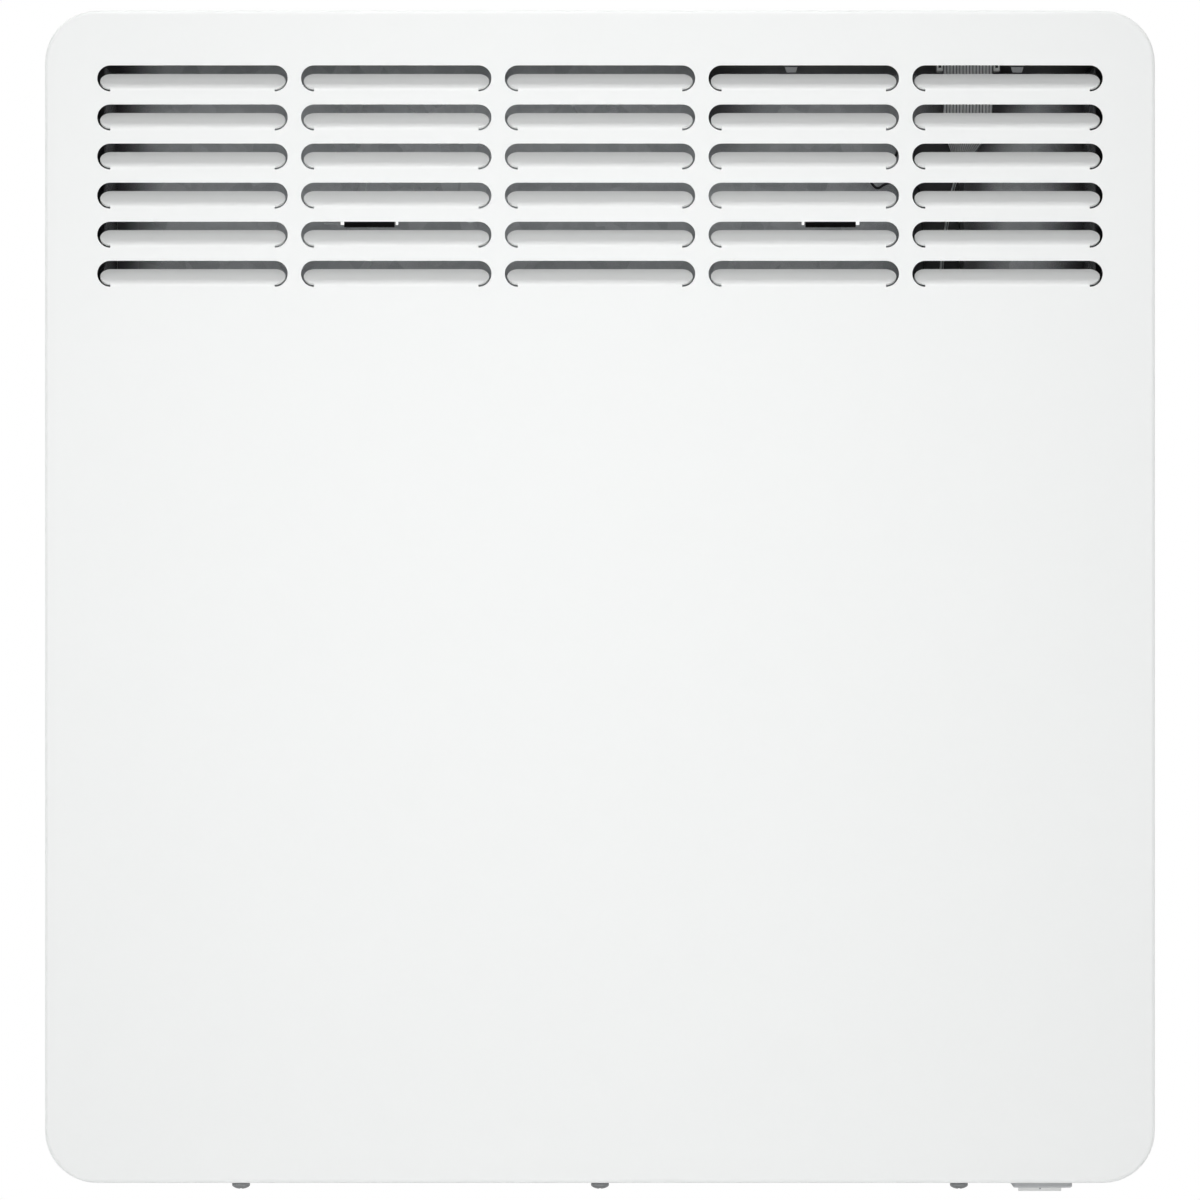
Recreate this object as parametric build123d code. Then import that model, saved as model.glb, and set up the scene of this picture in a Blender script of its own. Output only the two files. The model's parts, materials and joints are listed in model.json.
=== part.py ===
from build123d import *
import math
import os

# Wall panel convector heater, in millimetres. +X is right seen from the front, the front face looks
# towards -Y and +Z is up. The origin is the centre of the wall-screw pattern, on the wall plane Y = 0.

# ---- Casing ----
CASE_WIDTH = 426.0
CASE_HEIGHT = 450.0
CASE_DEPTH = 100.0
WALL_GAP = 23.0  # casing back to wall
CORNER_R = 20.0
EDGE_R = 1.5  # outside of the fold between front and band
COVER_T = 0.8
SHEET_FIT = 0.2  # gap between a sheet and the one it slips into
FRONT_FLANGE = 14.0  # depth of the cover's bottom flange
PAST = 1.0  # how far a cutter runs past a face

# ---- Louvres ----
SLOT_WIDTH = 73.1
SLOT_HEIGHT = 10.0
SLOT_PITCH_X = 78.2
SLOT_PITCH_Z = 15.0
SLOT_ROWS = 6
SLOT_DROP = 21.0  # casing top to the upper edge of the first row
SLOT_MARGIN = 20.0  # least plain sheet beside a row
FLAP_ANGLE = 45.0
FLAP_CLEAR = 0.95  # slot edge to flap edge
FLAP_BEND_R = 1.0  # inside of the flap's bend

# ---- Rear panel ----
REAR_T = 0.7
REAR_FLANGE = 15.0
BEAD_HEIGHT = 14.0
BEAD_RISE = 1.5
BEAD_PITCH = 60.0
BEAD_END_GAP = 15.0  # bead end to bracket arm

# ---- Base plate and intake guard ----
BASE_T = 1.0
LIP_FRONT_GAP = 0.3  # lip to the fold of the front sheet
LIP_END_GAP = 2.0
WINDOW_MARGIN = 10.0
WINDOW_REAR_MARGIN = 12.0
WINDOW_END_GAP = 1.0  # window to the wiring channel's side
GUARD_WIRE_R = 1.2
GUARD_PITCH = 10.0
GUARD_CROSS_PITCH = 80.0
GUARD_LAND = 6.0  # wire ends that lie on the plate
GUARD_CROSS_GAP = 2.0  # cross wire ends to the window's edges

# ---- Side shields and heat shield ----
SHIELD_T = 0.6
SHIELD_INSET = 22.0  # casing side to the shield's outer face
SHIELD_FOOT = 8.2
SHIELD_DROP = 21.0  # casing top to the shield's top
HEAT_SHIELD_GAP = 15.0  # casing front to the heat shield
HEAT_SHIELD_DROP = 110.0  # casing top to its top edge
HEAT_SHIELD_RISE = 20.0  # casing bottom to its bottom edge
HEAT_SHIELD_LIP = 4.0
HEAT_SHIELD_TOP_LIP = 5.0

# ---- Wall bracket ----
BRACKET_T = 1.5
ARM_INSET = 122.0  # casing side to the middle of an arm
ARM_WIDTH = 32.0
ARM_CLEAR = 3.0  # arm front to rear panel
ARM_DROP = 56.0  # casing top to arm top
ARM_BEND_R = 2.0
SCREW_ROW_INSET = 125.0  # casing top or bottom to the row of wall screws
WALL_HOLE_R = 3.0
CROSSBAR_HEIGHT = 30.0
CROSSBAR_LIP = 8.0

# ---- Pivot ----
PIN_R = 2.5
PIN_CLEAR = 0.1
PIN_HEAD_STEP = 1.3
PIN_HEAD_T = 1.2
PIVOT_RISE = 75.0  # casing bottom to pivot
ARM_BELOW_PIVOT = 7.0
HOOK_T = 2.0
HOOK_WIDTH = 20.0
HOOK_FOOT = 25.0
HOOK_LEG = 4.0
HOOK_BEND_R = 2.0

# ---- Latches ----
LATCH_WINDOW_HEIGHT = 12.0
LATCH_WINDOW_DROP = 78.2  # casing top to the window's lower edge
NOSE_WIDTH = 19.75
NOSE_SIDE_CLEAR = 1.525
NOSE_CLEAR = 0.3
NOSE_LAP = 0.9  # lip below the window's lower edge
NOSE_REACH = 5.5  # lip in front of the rear panel
NOSE_LIP_T = 1.0
NOSE_RAMP = 2.0  # rise of the nose's slanted underside
NOSE_CHAMFER = 1.5
LATCH_TRAVEL = 3.0
LATCH_SIDE_FIT = 0.5
LATCH_FRONT_GAP = 1.0  # arm's front edge to the latch body
LATCH_BODY_BELOW = 11.0
LATCH_SHOULDER = 0.8  # window to the body's shoulders, beside the nose
ARM_VIEW_MARGIN = 2.5  # latch window to the opening behind it in the arm
LATCH_LUG = 4.0
LATCH_LUG_DROP = 5.0  # window to the lugs' underside
LATCH_LUG_PROUD = 0.5
LATCH_LUG_FIT = 0.2
STEM_WIDTH = 10.0
STEM_T = 4.0
TAB_WIDTH = 18.0
TAB_HEIGHT = 5.0
SPRING_R = 2.9
SPRING_WIRE = 0.8
SPRING_GAP = 1.0  # spring to stem

# ---- Heating element ----
ROD_R = 4.0
LEG_PITCH = 24.0
ELEMENT_RISE = 85.0  # casing bottom to the element's axis
ELEMENT_RIGHT = 117.0  # casing side to the right bracket
ELEMENT_LEFT = 22.0  # left side shield to the left bracket
ROD_OVERHANG = 8.0
FIN_DEPTH = 56.0
FIN_HEIGHT = 50.0
FIN_T = 0.5
FIN_PITCH = 6.0
FIN_END_GAP = 7.0
FIN_CORNER_R = 3.0
ROD_BEND_GAP = 1.0  # bush to the start of the bend
END_BRACKET_T = 1.2
END_BRACKET_HEIGHT = 64.0
END_BRACKET_FOOT = 12.0
END_BRACKET_GAP = 2.0  # heat shield to bracket
FOOT_SCREW_INSET = 6.0
BUSH_WALL = 2.5
BUSH_FLANGE = 2.0
BUSH_LENGTH = 6.0
ROD_WALL = 0.8
SEAL_LENGTH = 3.0
PIN_TERMINAL_R = 1.5
PIN_TERMINAL_LENGTH = 12.0

# ---- Thermal cut-out ----
CUTOUT_INSET = 36.0  # right bracket to the cut-out
CUTOUT_RISE = 11.0  # fins to its shelf
CUTOUT_SHELF = 32.0
CUTOUT_SHELF_T = 1.0
CUTOUT_SHELF_EDGE = 2.0  # shelf's front edge to the cut-out
CUTOUT_FOOT = 16.0
CUTOUT_SCREW_RISE = 9.0
CUTOUT_WIDTH = 20.0
CUTOUT_R = 8.0
CUTOUT_HEIGHT = 8.0
CUTOUT_EAR_T = 0.8
CUTOUT_TAB = 6.0
CUTOUT_TAB_T = 0.8
CUTOUT_TAB_OFFSET = 3.6

# ---- Electronics housing ----
HOUSING_WIDTH = 44.0
HOUSING_TRAY = 18.0
HOUSING_DEPTH = 60.0
HOUSING_HEIGHT = 102.0
HOUSING_RISE = 57.0  # casing bottom to housing bottom
HOUSING_GAP = 4.0  # heat shield to housing
HOUSING_WALL = 2.0
BOARD_T = 1.6
BOARD_POST = 8.0
BOARD_MARGIN = 2.2
BOARD_CORNER_R = 2.0
POST_R = 3.0
RELAY = (16.0, 19.0, 28.0)
RELAY_FROM_BACK = 18.0
RELAY_RISE = 62.0
RELAY_EDGE_R = 1.0
TRANSFORMER = (22.0, 25.0, 28.0)
TRANSFORMER_FROM_FRONT = 20.0
TRANSFORMER_RISE = 30.0
TRANSFORMER_CHAMFER = 1.5
CAPACITOR_R = 5.0
CAPACITOR_HEIGHT = 14.0
CAPACITOR_EDGE_R = 0.8
CAPACITOR_PLACES = ((12.0, 54.0), (24.0, 54.0), (12.0, 68.0))  # from the housing's front and bottom
STRIP = (9.0, 9.0, 26.0)  # row of wire terminals at the board's foot
STRIP_FROM_BACK = 12.0
STRIP_RISE = 24.0
PLUG_LENGTH = 24.8
PLUG_HEIGHT = 6.0
PLUG_DEPTH = 15.0
PLUG_DROP = 14.0  # housing top to the plug
RIBBON_PLUG_INSET = 4.0  # plug's face to the ribbon
RIBBON_SLOT = 3.0
VENTS = 5
VENT_HEIGHT = 2.5
VENT_PITCH = 7.0
VENT_DROP = 14.0  # housing top to the first vent
VENT_INSET = 12.0
WIRE_SLOT_Y = (2.0, 11.0)  # behind the switch's middle
WIRE_SLOT_X = (-9.0, 6.0)  # about the housing's split

# ---- Wiring ----
CHANNEL_INSET = 94.0  # casing side to the channel's left side
CHANNEL_WIDTH = 24.0
CHANNEL_DEPTH = 14.0
CHANNEL_WALL = 1.5
CHANNEL_DROP = 42.0  # casing top to channel top
CHANNEL_LOW_GAP = 6.0  # housing to channel
WIRE_R = 1.2
THIN_LEAD_R = 0.5
RIBBON_WIDTH = 19.05
RIBBON_T = 0.9
RIBBON_SETBACK = 37.0  # casing front to ribbon
RIBBON_TWIST_TOP = 37.8  # casing top to the start of the twist
RIBBON_TWIST_LENGTH = 21.0
RIBBON_LOW_SHIFT = 11.0  # the edge-on run's place left of the plug
RIBBON_TWIST_SHARE = 0.33  # of that shift, made in the twist
RIBBON_TWIST_STEPS = 6
RIBBON_SLANT = 32.0  # height of the slanted run under the twist
RIBBON_JOG = (48.0, 14.0)  # above the housing
RIBBON_BENDS = (60.0, 12.0, 8.0)
TERMINAL_BLOCK = (27.0, 16.0, 12.0)
TERMINAL_BLOCK_INSET = 91.5  # casing side to the block's middle
TERMINAL_BLOCK_RISE = 31.0  # casing bottom to the block's middle
TERMINAL_PITCH = 9.0
TERMINAL_HOLE_R = 2.2
TERMINAL_HOLE_DEPTH = 5.0
TERMINAL_GROOVE = (1.2, 6.0)  # width and depth

# ---- Programming unit ----
UNIT_WIDTH = 104.0
UNIT_DEPTH = 56.0
UNIT_HEIGHT = 19.0
UNIT_SETBACK = 21.0  # casing front to the unit's body
UNIT_INSET = 43.55  # casing side to the unit's body
UNIT_WALL = 2.0
UNIT_FIT = 0.3
UNIT_BOARD_GAP = 0.5
FASCIA_EDGE_R = 0.4
RIM = 2.0
RIM_T = 1.2
RIM_R = 3.0
UNIT_POST = 3.0
LUG_INSET = 8.35  # unit side to the middle of a lug
LUG_TOP = 5.9
LUG_BOTTOM = 3.5
LUG_DROP = 3.6
LUG_T = 1.5
BAFFLE_T = 1.5
BAFFLE_GAP = 4.0  # casing front to the baffle
BAFFLE_DEPTH = 89.0
BAFFLE_INSET = 22.5  # casing side to the baffle
BAFFLE_WIDTH = 151.5
LEAD_OFFSET = 1.7  # unit centre to its thin lead
LEAD_LOOP_DROP = 65.1  # casing top to the lead's slack loop
DISPLAY_DEPTH = 30.0
DISPLAY_INSET = 7.0  # unit side to the window
DISPLAY_KEY_GAP = 12.2  # window to the nearer keys
DISPLAY_FIT = 0.1
DISPLAY_FRAME = 2.0
PLUG_OFFSET = 25.25  # unit centre to ribbon centre
CONNECTOR_DEPTH = 8.0
CONNECTOR_RISE = 1.0  # unit's underside to the connector's body
EAR_DEPTH = 5.0
EAR_DROP = 3.4
EAR_GAP = 0.1  # ear to ribbon
KEY_WIDTH = 9.6
KEY_DEPTH = 7.6
KEY_FIT = 0.2
KEY_SPACE_X = 6.4  # between keys
KEY_SPACE_Y = 6.4
KEY_INSET = 13.2  # unit side to the outer keys
KEY_PROUD = 0.8
KEY_FLANGE = 0.7
KEY_FLANGE_T = 1.0
KEY_TRAVEL = 0.6
KEY_STEM_R = 1.5
KEY_SEAT_GAP = 0.1  # flange to fascia
KEY_CORNER_R = 1.2
KEY_EDGE_R = 0.5
KEY_GAP = 0.2  # left under a pressed key
TACT_SIZE = 6.0
TACT_HEIGHT = 4.2
TACT_BUTTON = 0.7
TACT_BUTTON_R = 1.7

# ---- Mains switch ----
SWITCH_INSET = 42.4  # casing side to switch
SWITCH_SETBACK = 30.5  # casing front to switch
BEZEL_WIDTH = 22.9
BEZEL_LENGTH = 30.0
BEZEL_T = 2.8
BEZEL_R = 2.0
BEZEL_EDGE_R = 0.8
SWITCH_BODY_FRAME = 1.1  # bezel past the body
SWITCH_BODY_HEIGHT = 24.0
SWITCH_SIDE_WALL = 1.85
SWITCH_END_WALL = 1.7
ROCKER_GAP = 0.2
ROCKER_TILT = 12.0
ROCKER_DEPTH = 5.0  # pivot to the middle of the rocker's face
ROCKER_RISE = 0.22  # slope of each half of its face
ROCKER_BACK = 2.0  # pivot to its inner face
ROCKER_SHOULDER = 1.0
ROCKER_PIVOT_RISE = 3.5  # casing bottom to the rocker's pivot
TRUNNION_R = 1.5
TRUNNION_CLEAR = 0.05
TRUNNION_REACH = 1.2
TAB_TERMINAL = (4.8, 0.8, 10.0)
TAB_SPACING_X = 9.6
TAB_SPACING_Y = 13.0

# ---- Cord gland and earth ----
GLAND_INSET = 63.0
GLAND_RISE = 35.0
GLAND_BORE_R = 4.0
GLAND_WALL = 4.0
GLAND_FLANGE = 3.0
GLAND_FLANGE_T = 3.0
GLAND_LENGTH = 13.0  # inside the rear panel
GLAND_NUT = 4.0  # nut corner past the barrel
GLAND_NUT_T = 4.2
GLAND_EDGE_R = 1.0
EARTH_INSET = 40.0
EARTH_RISE = 13.0
EARTH_STUD_R = 2.0
EARTH_STUD_LENGTH = 11.0
EARTH_NUT_R = 4.0
EARTH_NUT_T = 3.2
RING_T = 0.8
RING_R = 5.0
RING_TAIL = (9.0, 4.0)  # length from the stud, and width

# ---- Room sensor ----
SENSOR_INSET = 87.0
SENSOR_SETBACK = 25.0
SENSOR_SIZE = 10.0
SENSOR_HEIGHT = 16.0
SENSOR_BEAD_R = 2.2
SENSOR_SLOT_END = 3.0

# ---- Screws ----
SCREW_HEAD_R = 3.45
SCREW_HEAD_H = 2.6
HEAD_ROUND = 0.6  # of the head's height
SCREW_SHANK_R = 1.75
SCREW_HOLE_R = 2.1
SCREW_LENGTH = 9.5
SCREW_SETBACK = 7.0  # casing front to the front row
SCREW_BACK_GAP = 8.0  # casing back to the rear row
SCREW_INSET = 75.0  # casing side to the outer screws
INNER_HEAD_R = 2.8
INNER_HEAD_H = 2.0
INNER_SHANK_R = 1.25
INNER_HOLE_R = 1.5
INNER_TIP = 1.0  # past the rear panel
RECESS_DEPTH = 1.2

# ---- Planes and places worked out from the sizes above ----
X_SIDE = CASE_WIDTH / 2
Z_TOP = CASE_HEIGHT / 2
Z_BASE = -Z_TOP
Y_BACK = -WALL_GAP
Y_FRONT = Y_BACK - CASE_DEPTH
Y_REAR = Y_BACK - REAR_T  # inner face of the rear panel

X_SHIELD = X_SIDE - SHIELD_INSET
X_INNER = X_SHIELD - SHIELD_T  # inner face of a side shield
Y_HEAT = Y_FRONT + HEAT_SHIELD_GAP
Y_HEAT_BACK = Y_HEAT + SHIELD_T

Y_ARM = Y_BACK + ARM_CLEAR
Z_ARM_TOP = Z_TOP - ARM_DROP
X_ARM = X_SIDE - ARM_INSET
Z_SCREW_ROW = Z_TOP - SCREW_ROW_INSET
Z_PIVOT = Z_BASE + PIVOT_RISE
Y_PIVOT = (Y_BACK - PIN_CLEAR - BRACKET_T) / 2 + PIN_CLEAR

LATCH_WINDOW_WIDTH = NOSE_WIDTH + 2 * NOSE_SIDE_CLEAR
Z_WINDOW = Z_TOP - LATCH_WINDOW_DROP  # lower edge of a latch window
Z_NOSE = Z_WINDOW + NOSE_CLEAR
Z_NOSE_TOP = Z_WINDOW + LATCH_WINDOW_HEIGHT - LATCH_TRAVEL - NOSE_CLEAR
Z_LATCH_LUG = Z_WINDOW - LATCH_LUG_DROP

Y_ELEMENT = (Y_HEAT_BACK + Y_REAR) / 2
Z_ELEMENT = Z_BASE + ELEMENT_RISE
X_RIGHT_BRACKET = X_SIDE - ELEMENT_RIGHT
X_LEFT_BRACKET = -X_INNER + ELEMENT_LEFT
X_ROD_END = X_RIGHT_BRACKET + ROD_OVERHANG
BUSH_R = ROD_R + BUSH_WALL
SEAL_R = ROD_R - ROD_WALL
X_TERMINAL_END = X_ROD_END + PIN_TERMINAL_LENGTH
CUTOUT_X = X_RIGHT_BRACKET - CUTOUT_INSET

X_HOUSING = X_INNER - HOUSING_WIDTH
X_SPLIT = X_INNER - HOUSING_TRAY
Y_HOUSING = Y_HEAT_BACK + HOUSING_GAP
Y_HOUSING_BACK = Y_HOUSING + HOUSING_DEPTH
Z_HOUSING = Z_BASE + HOUSING_RISE
Z_HOUSING_TOP = Z_HOUSING + HOUSING_HEIGHT
X_BOARD = X_INNER - HOUSING_WALL - BOARD_POST - BOARD_T  # component side

X_CHANNEL = X_SIDE - CHANNEL_INSET
Z_CHANNEL_TOP = Z_TOP - CHANNEL_DROP
Z_CHANNEL_BOTTOM = Z_HOUSING_TOP + CHANNEL_LOW_GAP

X_UNIT = X_SIDE - UNIT_INSET - UNIT_WIDTH / 2
Y_UNIT = Y_FRONT + UNIT_SETBACK
Y_UNIT_MID = Y_UNIT + UNIT_DEPTH / 2
Z_UNIT = Z_TOP - UNIT_HEIGHT
Z_UNIT_BOARD = Z_UNIT + UNIT_WALL + UNIT_POST
Z_UNIT_BOARD_TOP = Z_UNIT_BOARD + BOARD_T
KEY_PITCH_X = KEY_WIDTH + KEY_SPACE_X
KEY_PITCH_Y = KEY_DEPTH + KEY_SPACE_Y
X_KEYS = X_UNIT + UNIT_WIDTH / 2 - KEY_INSET - KEY_WIDTH - KEY_SPACE_X / 2
X_DISPLAY_LEFT = X_UNIT - UNIT_WIDTH / 2 + DISPLAY_INSET
DISPLAY_WIDTH = X_KEYS - KEY_SPACE_X / 2 - KEY_WIDTH - DISPLAY_KEY_GAP - X_DISPLAY_LEFT
X_DISPLAY = X_DISPLAY_LEFT + DISPLAY_WIDTH / 2
Y_RIBBON = Y_FRONT + RIBBON_SETBACK
X_RIBBON = X_UNIT + PLUG_OFFSET
Z_RIBBON_TOP = Z_UNIT + CONNECTOR_RISE
X_LEAD = X_UNIT + LEAD_OFFSET
Z_LEAD_LOOP = Z_TOP - LEAD_LOOP_DROP
Z_EAR = Z_RIBBON_TOP - EAR_DROP
Z_TWIST = Z_TOP - RIBBON_TWIST_TOP
Z_TWIST_END = Z_TWIST - RIBBON_TWIST_LENGTH
X_RIBBON_LOW = X_RIBBON - RIBBON_LOW_SHIFT

X_SWITCH = X_SIDE - SWITCH_INSET
Y_SWITCH = Y_FRONT + SWITCH_SETBACK
SWITCH_BODY_WIDTH = BEZEL_WIDTH - 2 * SWITCH_BODY_FRAME
SWITCH_BODY_LENGTH = BEZEL_LENGTH - 2 * SWITCH_BODY_FRAME
ROCKER_WIDTH = SWITCH_BODY_WIDTH - 2 * (SWITCH_SIDE_WALL + ROCKER_GAP)
ROCKER_R = SWITCH_BODY_LENGTH / 2 - SWITCH_END_WALL - ROCKER_GAP
Z_ROCKER = Z_BASE + ROCKER_PIVOT_RISE
Z_SWITCH_TOP = Z_BASE + SWITCH_BODY_HEIGHT
Z_TAB_TOP = Z_SWITCH_TOP + TAB_TERMINAL[2]

GLAND_BARREL_R = GLAND_BORE_R + GLAND_WALL
X_GLAND = X_SIDE - GLAND_INSET
Z_GLAND = Z_BASE + GLAND_RISE
X_EARTH = X_SIDE - EARTH_INSET
Z_EARTH = Z_BASE + EARTH_RISE
X_SENSOR = X_SIDE - SENSOR_INSET
Y_SENSOR = Y_FRONT + SENSOR_SETBACK
X_BLOCK = X_SIDE - TERMINAL_BLOCK_INSET
Z_BLOCK = Z_BASE + TERMINAL_BLOCK_RISE

Z_FLOOR = Z_BASE + BASE_T  # top of the base plate
X_WINDOW = (-X_INNER + WINDOW_MARGIN, X_CHANNEL - WINDOW_END_GAP)
Y_BASE_FRONT = Y_FRONT + FRONT_FLANGE + SHEET_FIT
Y_BASE_BACK = Y_BACK - SHEET_FIT
Y_WINDOW = (Y_BASE_FRONT + WINDOW_MARGIN, Y_BASE_BACK - WINDOW_REAR_MARGIN)
Y_SCREW_FRONT = Y_FRONT + SCREW_SETBACK
Y_SCREW_BACK = Y_BACK - SCREW_BACK_GAP
SCREW_XS = (-X_SIDE + SCREW_INSET, 0.0, X_SIDE - SCREW_INSET)


# ---- Helpers ----
def block(x, y, z):
    """A box from its three spans, each a pair of ends."""
    middle = Pos((x[0] + x[1]) / 2, (y[0] + y[1]) / 2, (z[0] + z[1]) / 2)
    return middle * Box(abs(x[1] - x[0]), abs(y[1] - y[0]), abs(z[1] - z[0]))


def around(middle, size):
    """The span of the given size about a middle."""
    return (middle - size / 2, middle + size / 2)


def rod_x(x, y, z, radius):
    return Pos((x[0] + x[1]) / 2, y, z) * Rot(0, 90, 0) * Cylinder(radius, abs(x[1] - x[0]))


def rod_y(x, y, z, radius):
    return Pos(x, (y[0] + y[1]) / 2, z) * Rot(90, 0, 0) * Cylinder(radius, abs(y[1] - y[0]))


def rod_z(x, y, z, radius):
    return Pos(x, y, (z[0] + z[1]) / 2) * Cylinder(radius, abs(z[1] - z[0]))


def group(pieces):
    """Separate solids that share one node."""
    return Compound(children=[solid for piece in pieces for solid in piece.solids()])


def panel_plane(y):
    """A sketch plane at a given Y: sketch x is X, sketch y is Z, and it looks towards the front."""
    return Plane(origin=(0, y, 0), x_dir=(1, 0, 0), z_dir=(0, -1, 0))


def rounded_slab(width, height, radius, y_front, y_back):
    """A slab with rounded corners, its faces square to Y."""
    return extrude(panel_plane(y_back) * RectangleRounded(width, height, radius), y_back - y_front)


def hexagon_y(x, y, z, radius):
    """A hexagonal prism along Y."""
    face = panel_plane(y[1]) * (Pos(x, z) * RegularPolygon(radius, 6))
    return extrude(face, y[1] - y[0])


def cross_recess(depth):
    """Cutter for a screw head's cross recess: two crossed bars, sunk along +Z from the origin."""
    arm = 2.2 * SCREW_SHANK_R
    width = 0.5 * SCREW_SHANK_R
    bars = Box(arm, width, depth) + Box(width, arm, depth)
    return Pos(0, 0, depth / 2) * bars


def pan_screw(head_r, head_h, shank_r, length):
    """A pan-head screw along +Z: its seat is at the origin and its head hangs below."""
    head = Pos(0, 0, -head_h / 2) * Cylinder(head_r, head_h)
    rim = head.edges().filter_by(GeomType.CIRCLE).group_by(Axis.Z)[0]
    head = fillet(rim, HEAD_ROUND * head_h)
    head -= Pos(0, 0, -head_h) * cross_recess(RECESS_DEPTH)
    return head + Pos(0, 0, length / 2) * Cylinder(shank_r, length)


def bend_radii(points, largest):
    """The radius of each bend of a route: 0.45 of the shorter run over the tangent of half the turn."""
    radii = []
    for before, at, after in zip(points, points[1:], points[2:]):
        run_in = Vector(*at) - Vector(*before)
        run_out = Vector(*after) - Vector(*at)
        turn = math.radians(run_in.get_angle(run_out))
        room = 0.45 * min(run_in.length, run_out.length) / math.tan(turn / 2)
        radii.append(min(room, largest))
    return radii


def lead(points, radius, largest=30.0):
    """A wire of round section along straight runs joined by tangent arcs."""
    path = FilletPolyline(*points, radius=bend_radii(points, largest))
    start = Plane(origin=points[0], z_dir=Vector(*points[1]) - Vector(*points[0]))
    return sweep(start * Circle(radius), path)


# ---- Casing ----
def louvre_centres():
    """The middle of each louvre slot, as (x, z)."""
    gap = SLOT_PITCH_X - SLOT_WIDTH
    columns = int((CASE_WIDTH - 2 * SLOT_MARGIN + gap) // SLOT_PITCH_X)
    first = Z_TOP - SLOT_DROP - SLOT_HEIGHT / 2
    xs = [(column - (columns - 1) / 2) * SLOT_PITCH_X for column in range(columns)]
    return [(x, first - row * SLOT_PITCH_Z) for row in range(SLOT_ROWS) for x in xs]


def louvre_flap():
    """One slug, bent inward about its slot's lower edge. The slot's lower edge is at z = 0."""
    angle = math.radians(FLAP_ANGLE)
    half = angle / 2
    height = SLOT_HEIGHT - 2 * FLAP_CLEAR
    hinge = SLOT_WIDTH - SLOT_HEIGHT
    outer = FLAP_BEND_R + COVER_T
    centre = Y_FRONT + outer

    def on_arc(radius, turn):
        return (centre - radius * math.cos(turn), radius * math.sin(turn))

    edges = [
        ThreePointArc(on_arc(outer, 0), on_arc(outer, half), on_arc(outer, angle)),
        Line(on_arc(outer, angle), on_arc(FLAP_BEND_R, angle)),
        ThreePointArc(on_arc(FLAP_BEND_R, angle), on_arc(FLAP_BEND_R, half), on_arc(FLAP_BEND_R, 0)),
        Line(on_arc(FLAP_BEND_R, 0), on_arc(outer, 0)),
    ]
    bend = extrude(Plane.YZ.offset(-hinge / 2) * make_face(edges), hinge)
    y, z = on_arc(outer, angle)
    face = Plane(origin=(0, y, z), x_dir=(1, 0, 0), z_dir=(0, -math.cos(angle), math.sin(angle)))
    outline = face * (Pos(0, height / 2) * SlotOverall(hinge + height, height))
    return bend + extrude(outline, -COVER_T)


def unit_opening():
    """Cutter for the programming unit's opening in the casing's top."""
    x = around(X_UNIT, UNIT_WIDTH + 2 * UNIT_FIT)
    y = around(Y_UNIT_MID, UNIT_DEPTH + 2 * UNIT_FIT)
    return block(x, y, (Z_TOP - 3 * COVER_T, Z_TOP + COVER_T))


def front_cover():
    """Front sheet with its louvres, and the band round it, open at the back and over the base plate."""
    outer = rounded_slab(CASE_WIDTH, CASE_HEIGHT, CORNER_R, Y_FRONT, Y_BACK)
    outer = fillet(outer.faces().sort_by(Axis.Y)[0].edges(), EDGE_R)
    inner = rounded_slab(
        CASE_WIDTH - 2 * COVER_T,
        CASE_HEIGHT - 2 * COVER_T,
        CORNER_R - COVER_T,
        Y_FRONT + COVER_T,
        Y_BACK + COVER_T,
    )
    inner = fillet(inner.faces().sort_by(Axis.Y)[0].edges(), EDGE_R - COVER_T)
    tray = outer - inner
    base_cut = block(
        (-X_SIDE + CORNER_R, X_SIDE - CORNER_R),
        (Y_FRONT + FRONT_FLANGE, Y_BACK + COVER_T),
        (Z_BASE - COVER_T, Z_BASE + 2 * COVER_T),
    )
    holes = [rod_z(x, Y_SCREW_FRONT, around(Z_BASE, 4 * COVER_T), SCREW_HOLE_R) for x in SCREW_XS]
    slot = extrude(panel_plane(Y_FRONT + 2 * COVER_T) * SlotOverall(SLOT_WIDTH, SLOT_HEIGHT), 3 * COVER_T)
    slots = [Pos(x, 0, z) * slot for x, z in louvre_centres()]
    tray = tray.cut(base_cut, unit_opening(), *holes, *slots)
    flap = louvre_flap()
    flaps = [Pos(x, 0, z - SLOT_HEIGHT / 2) * flap for x, z in louvre_centres()]
    return tray.fuse(*flaps)


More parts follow.
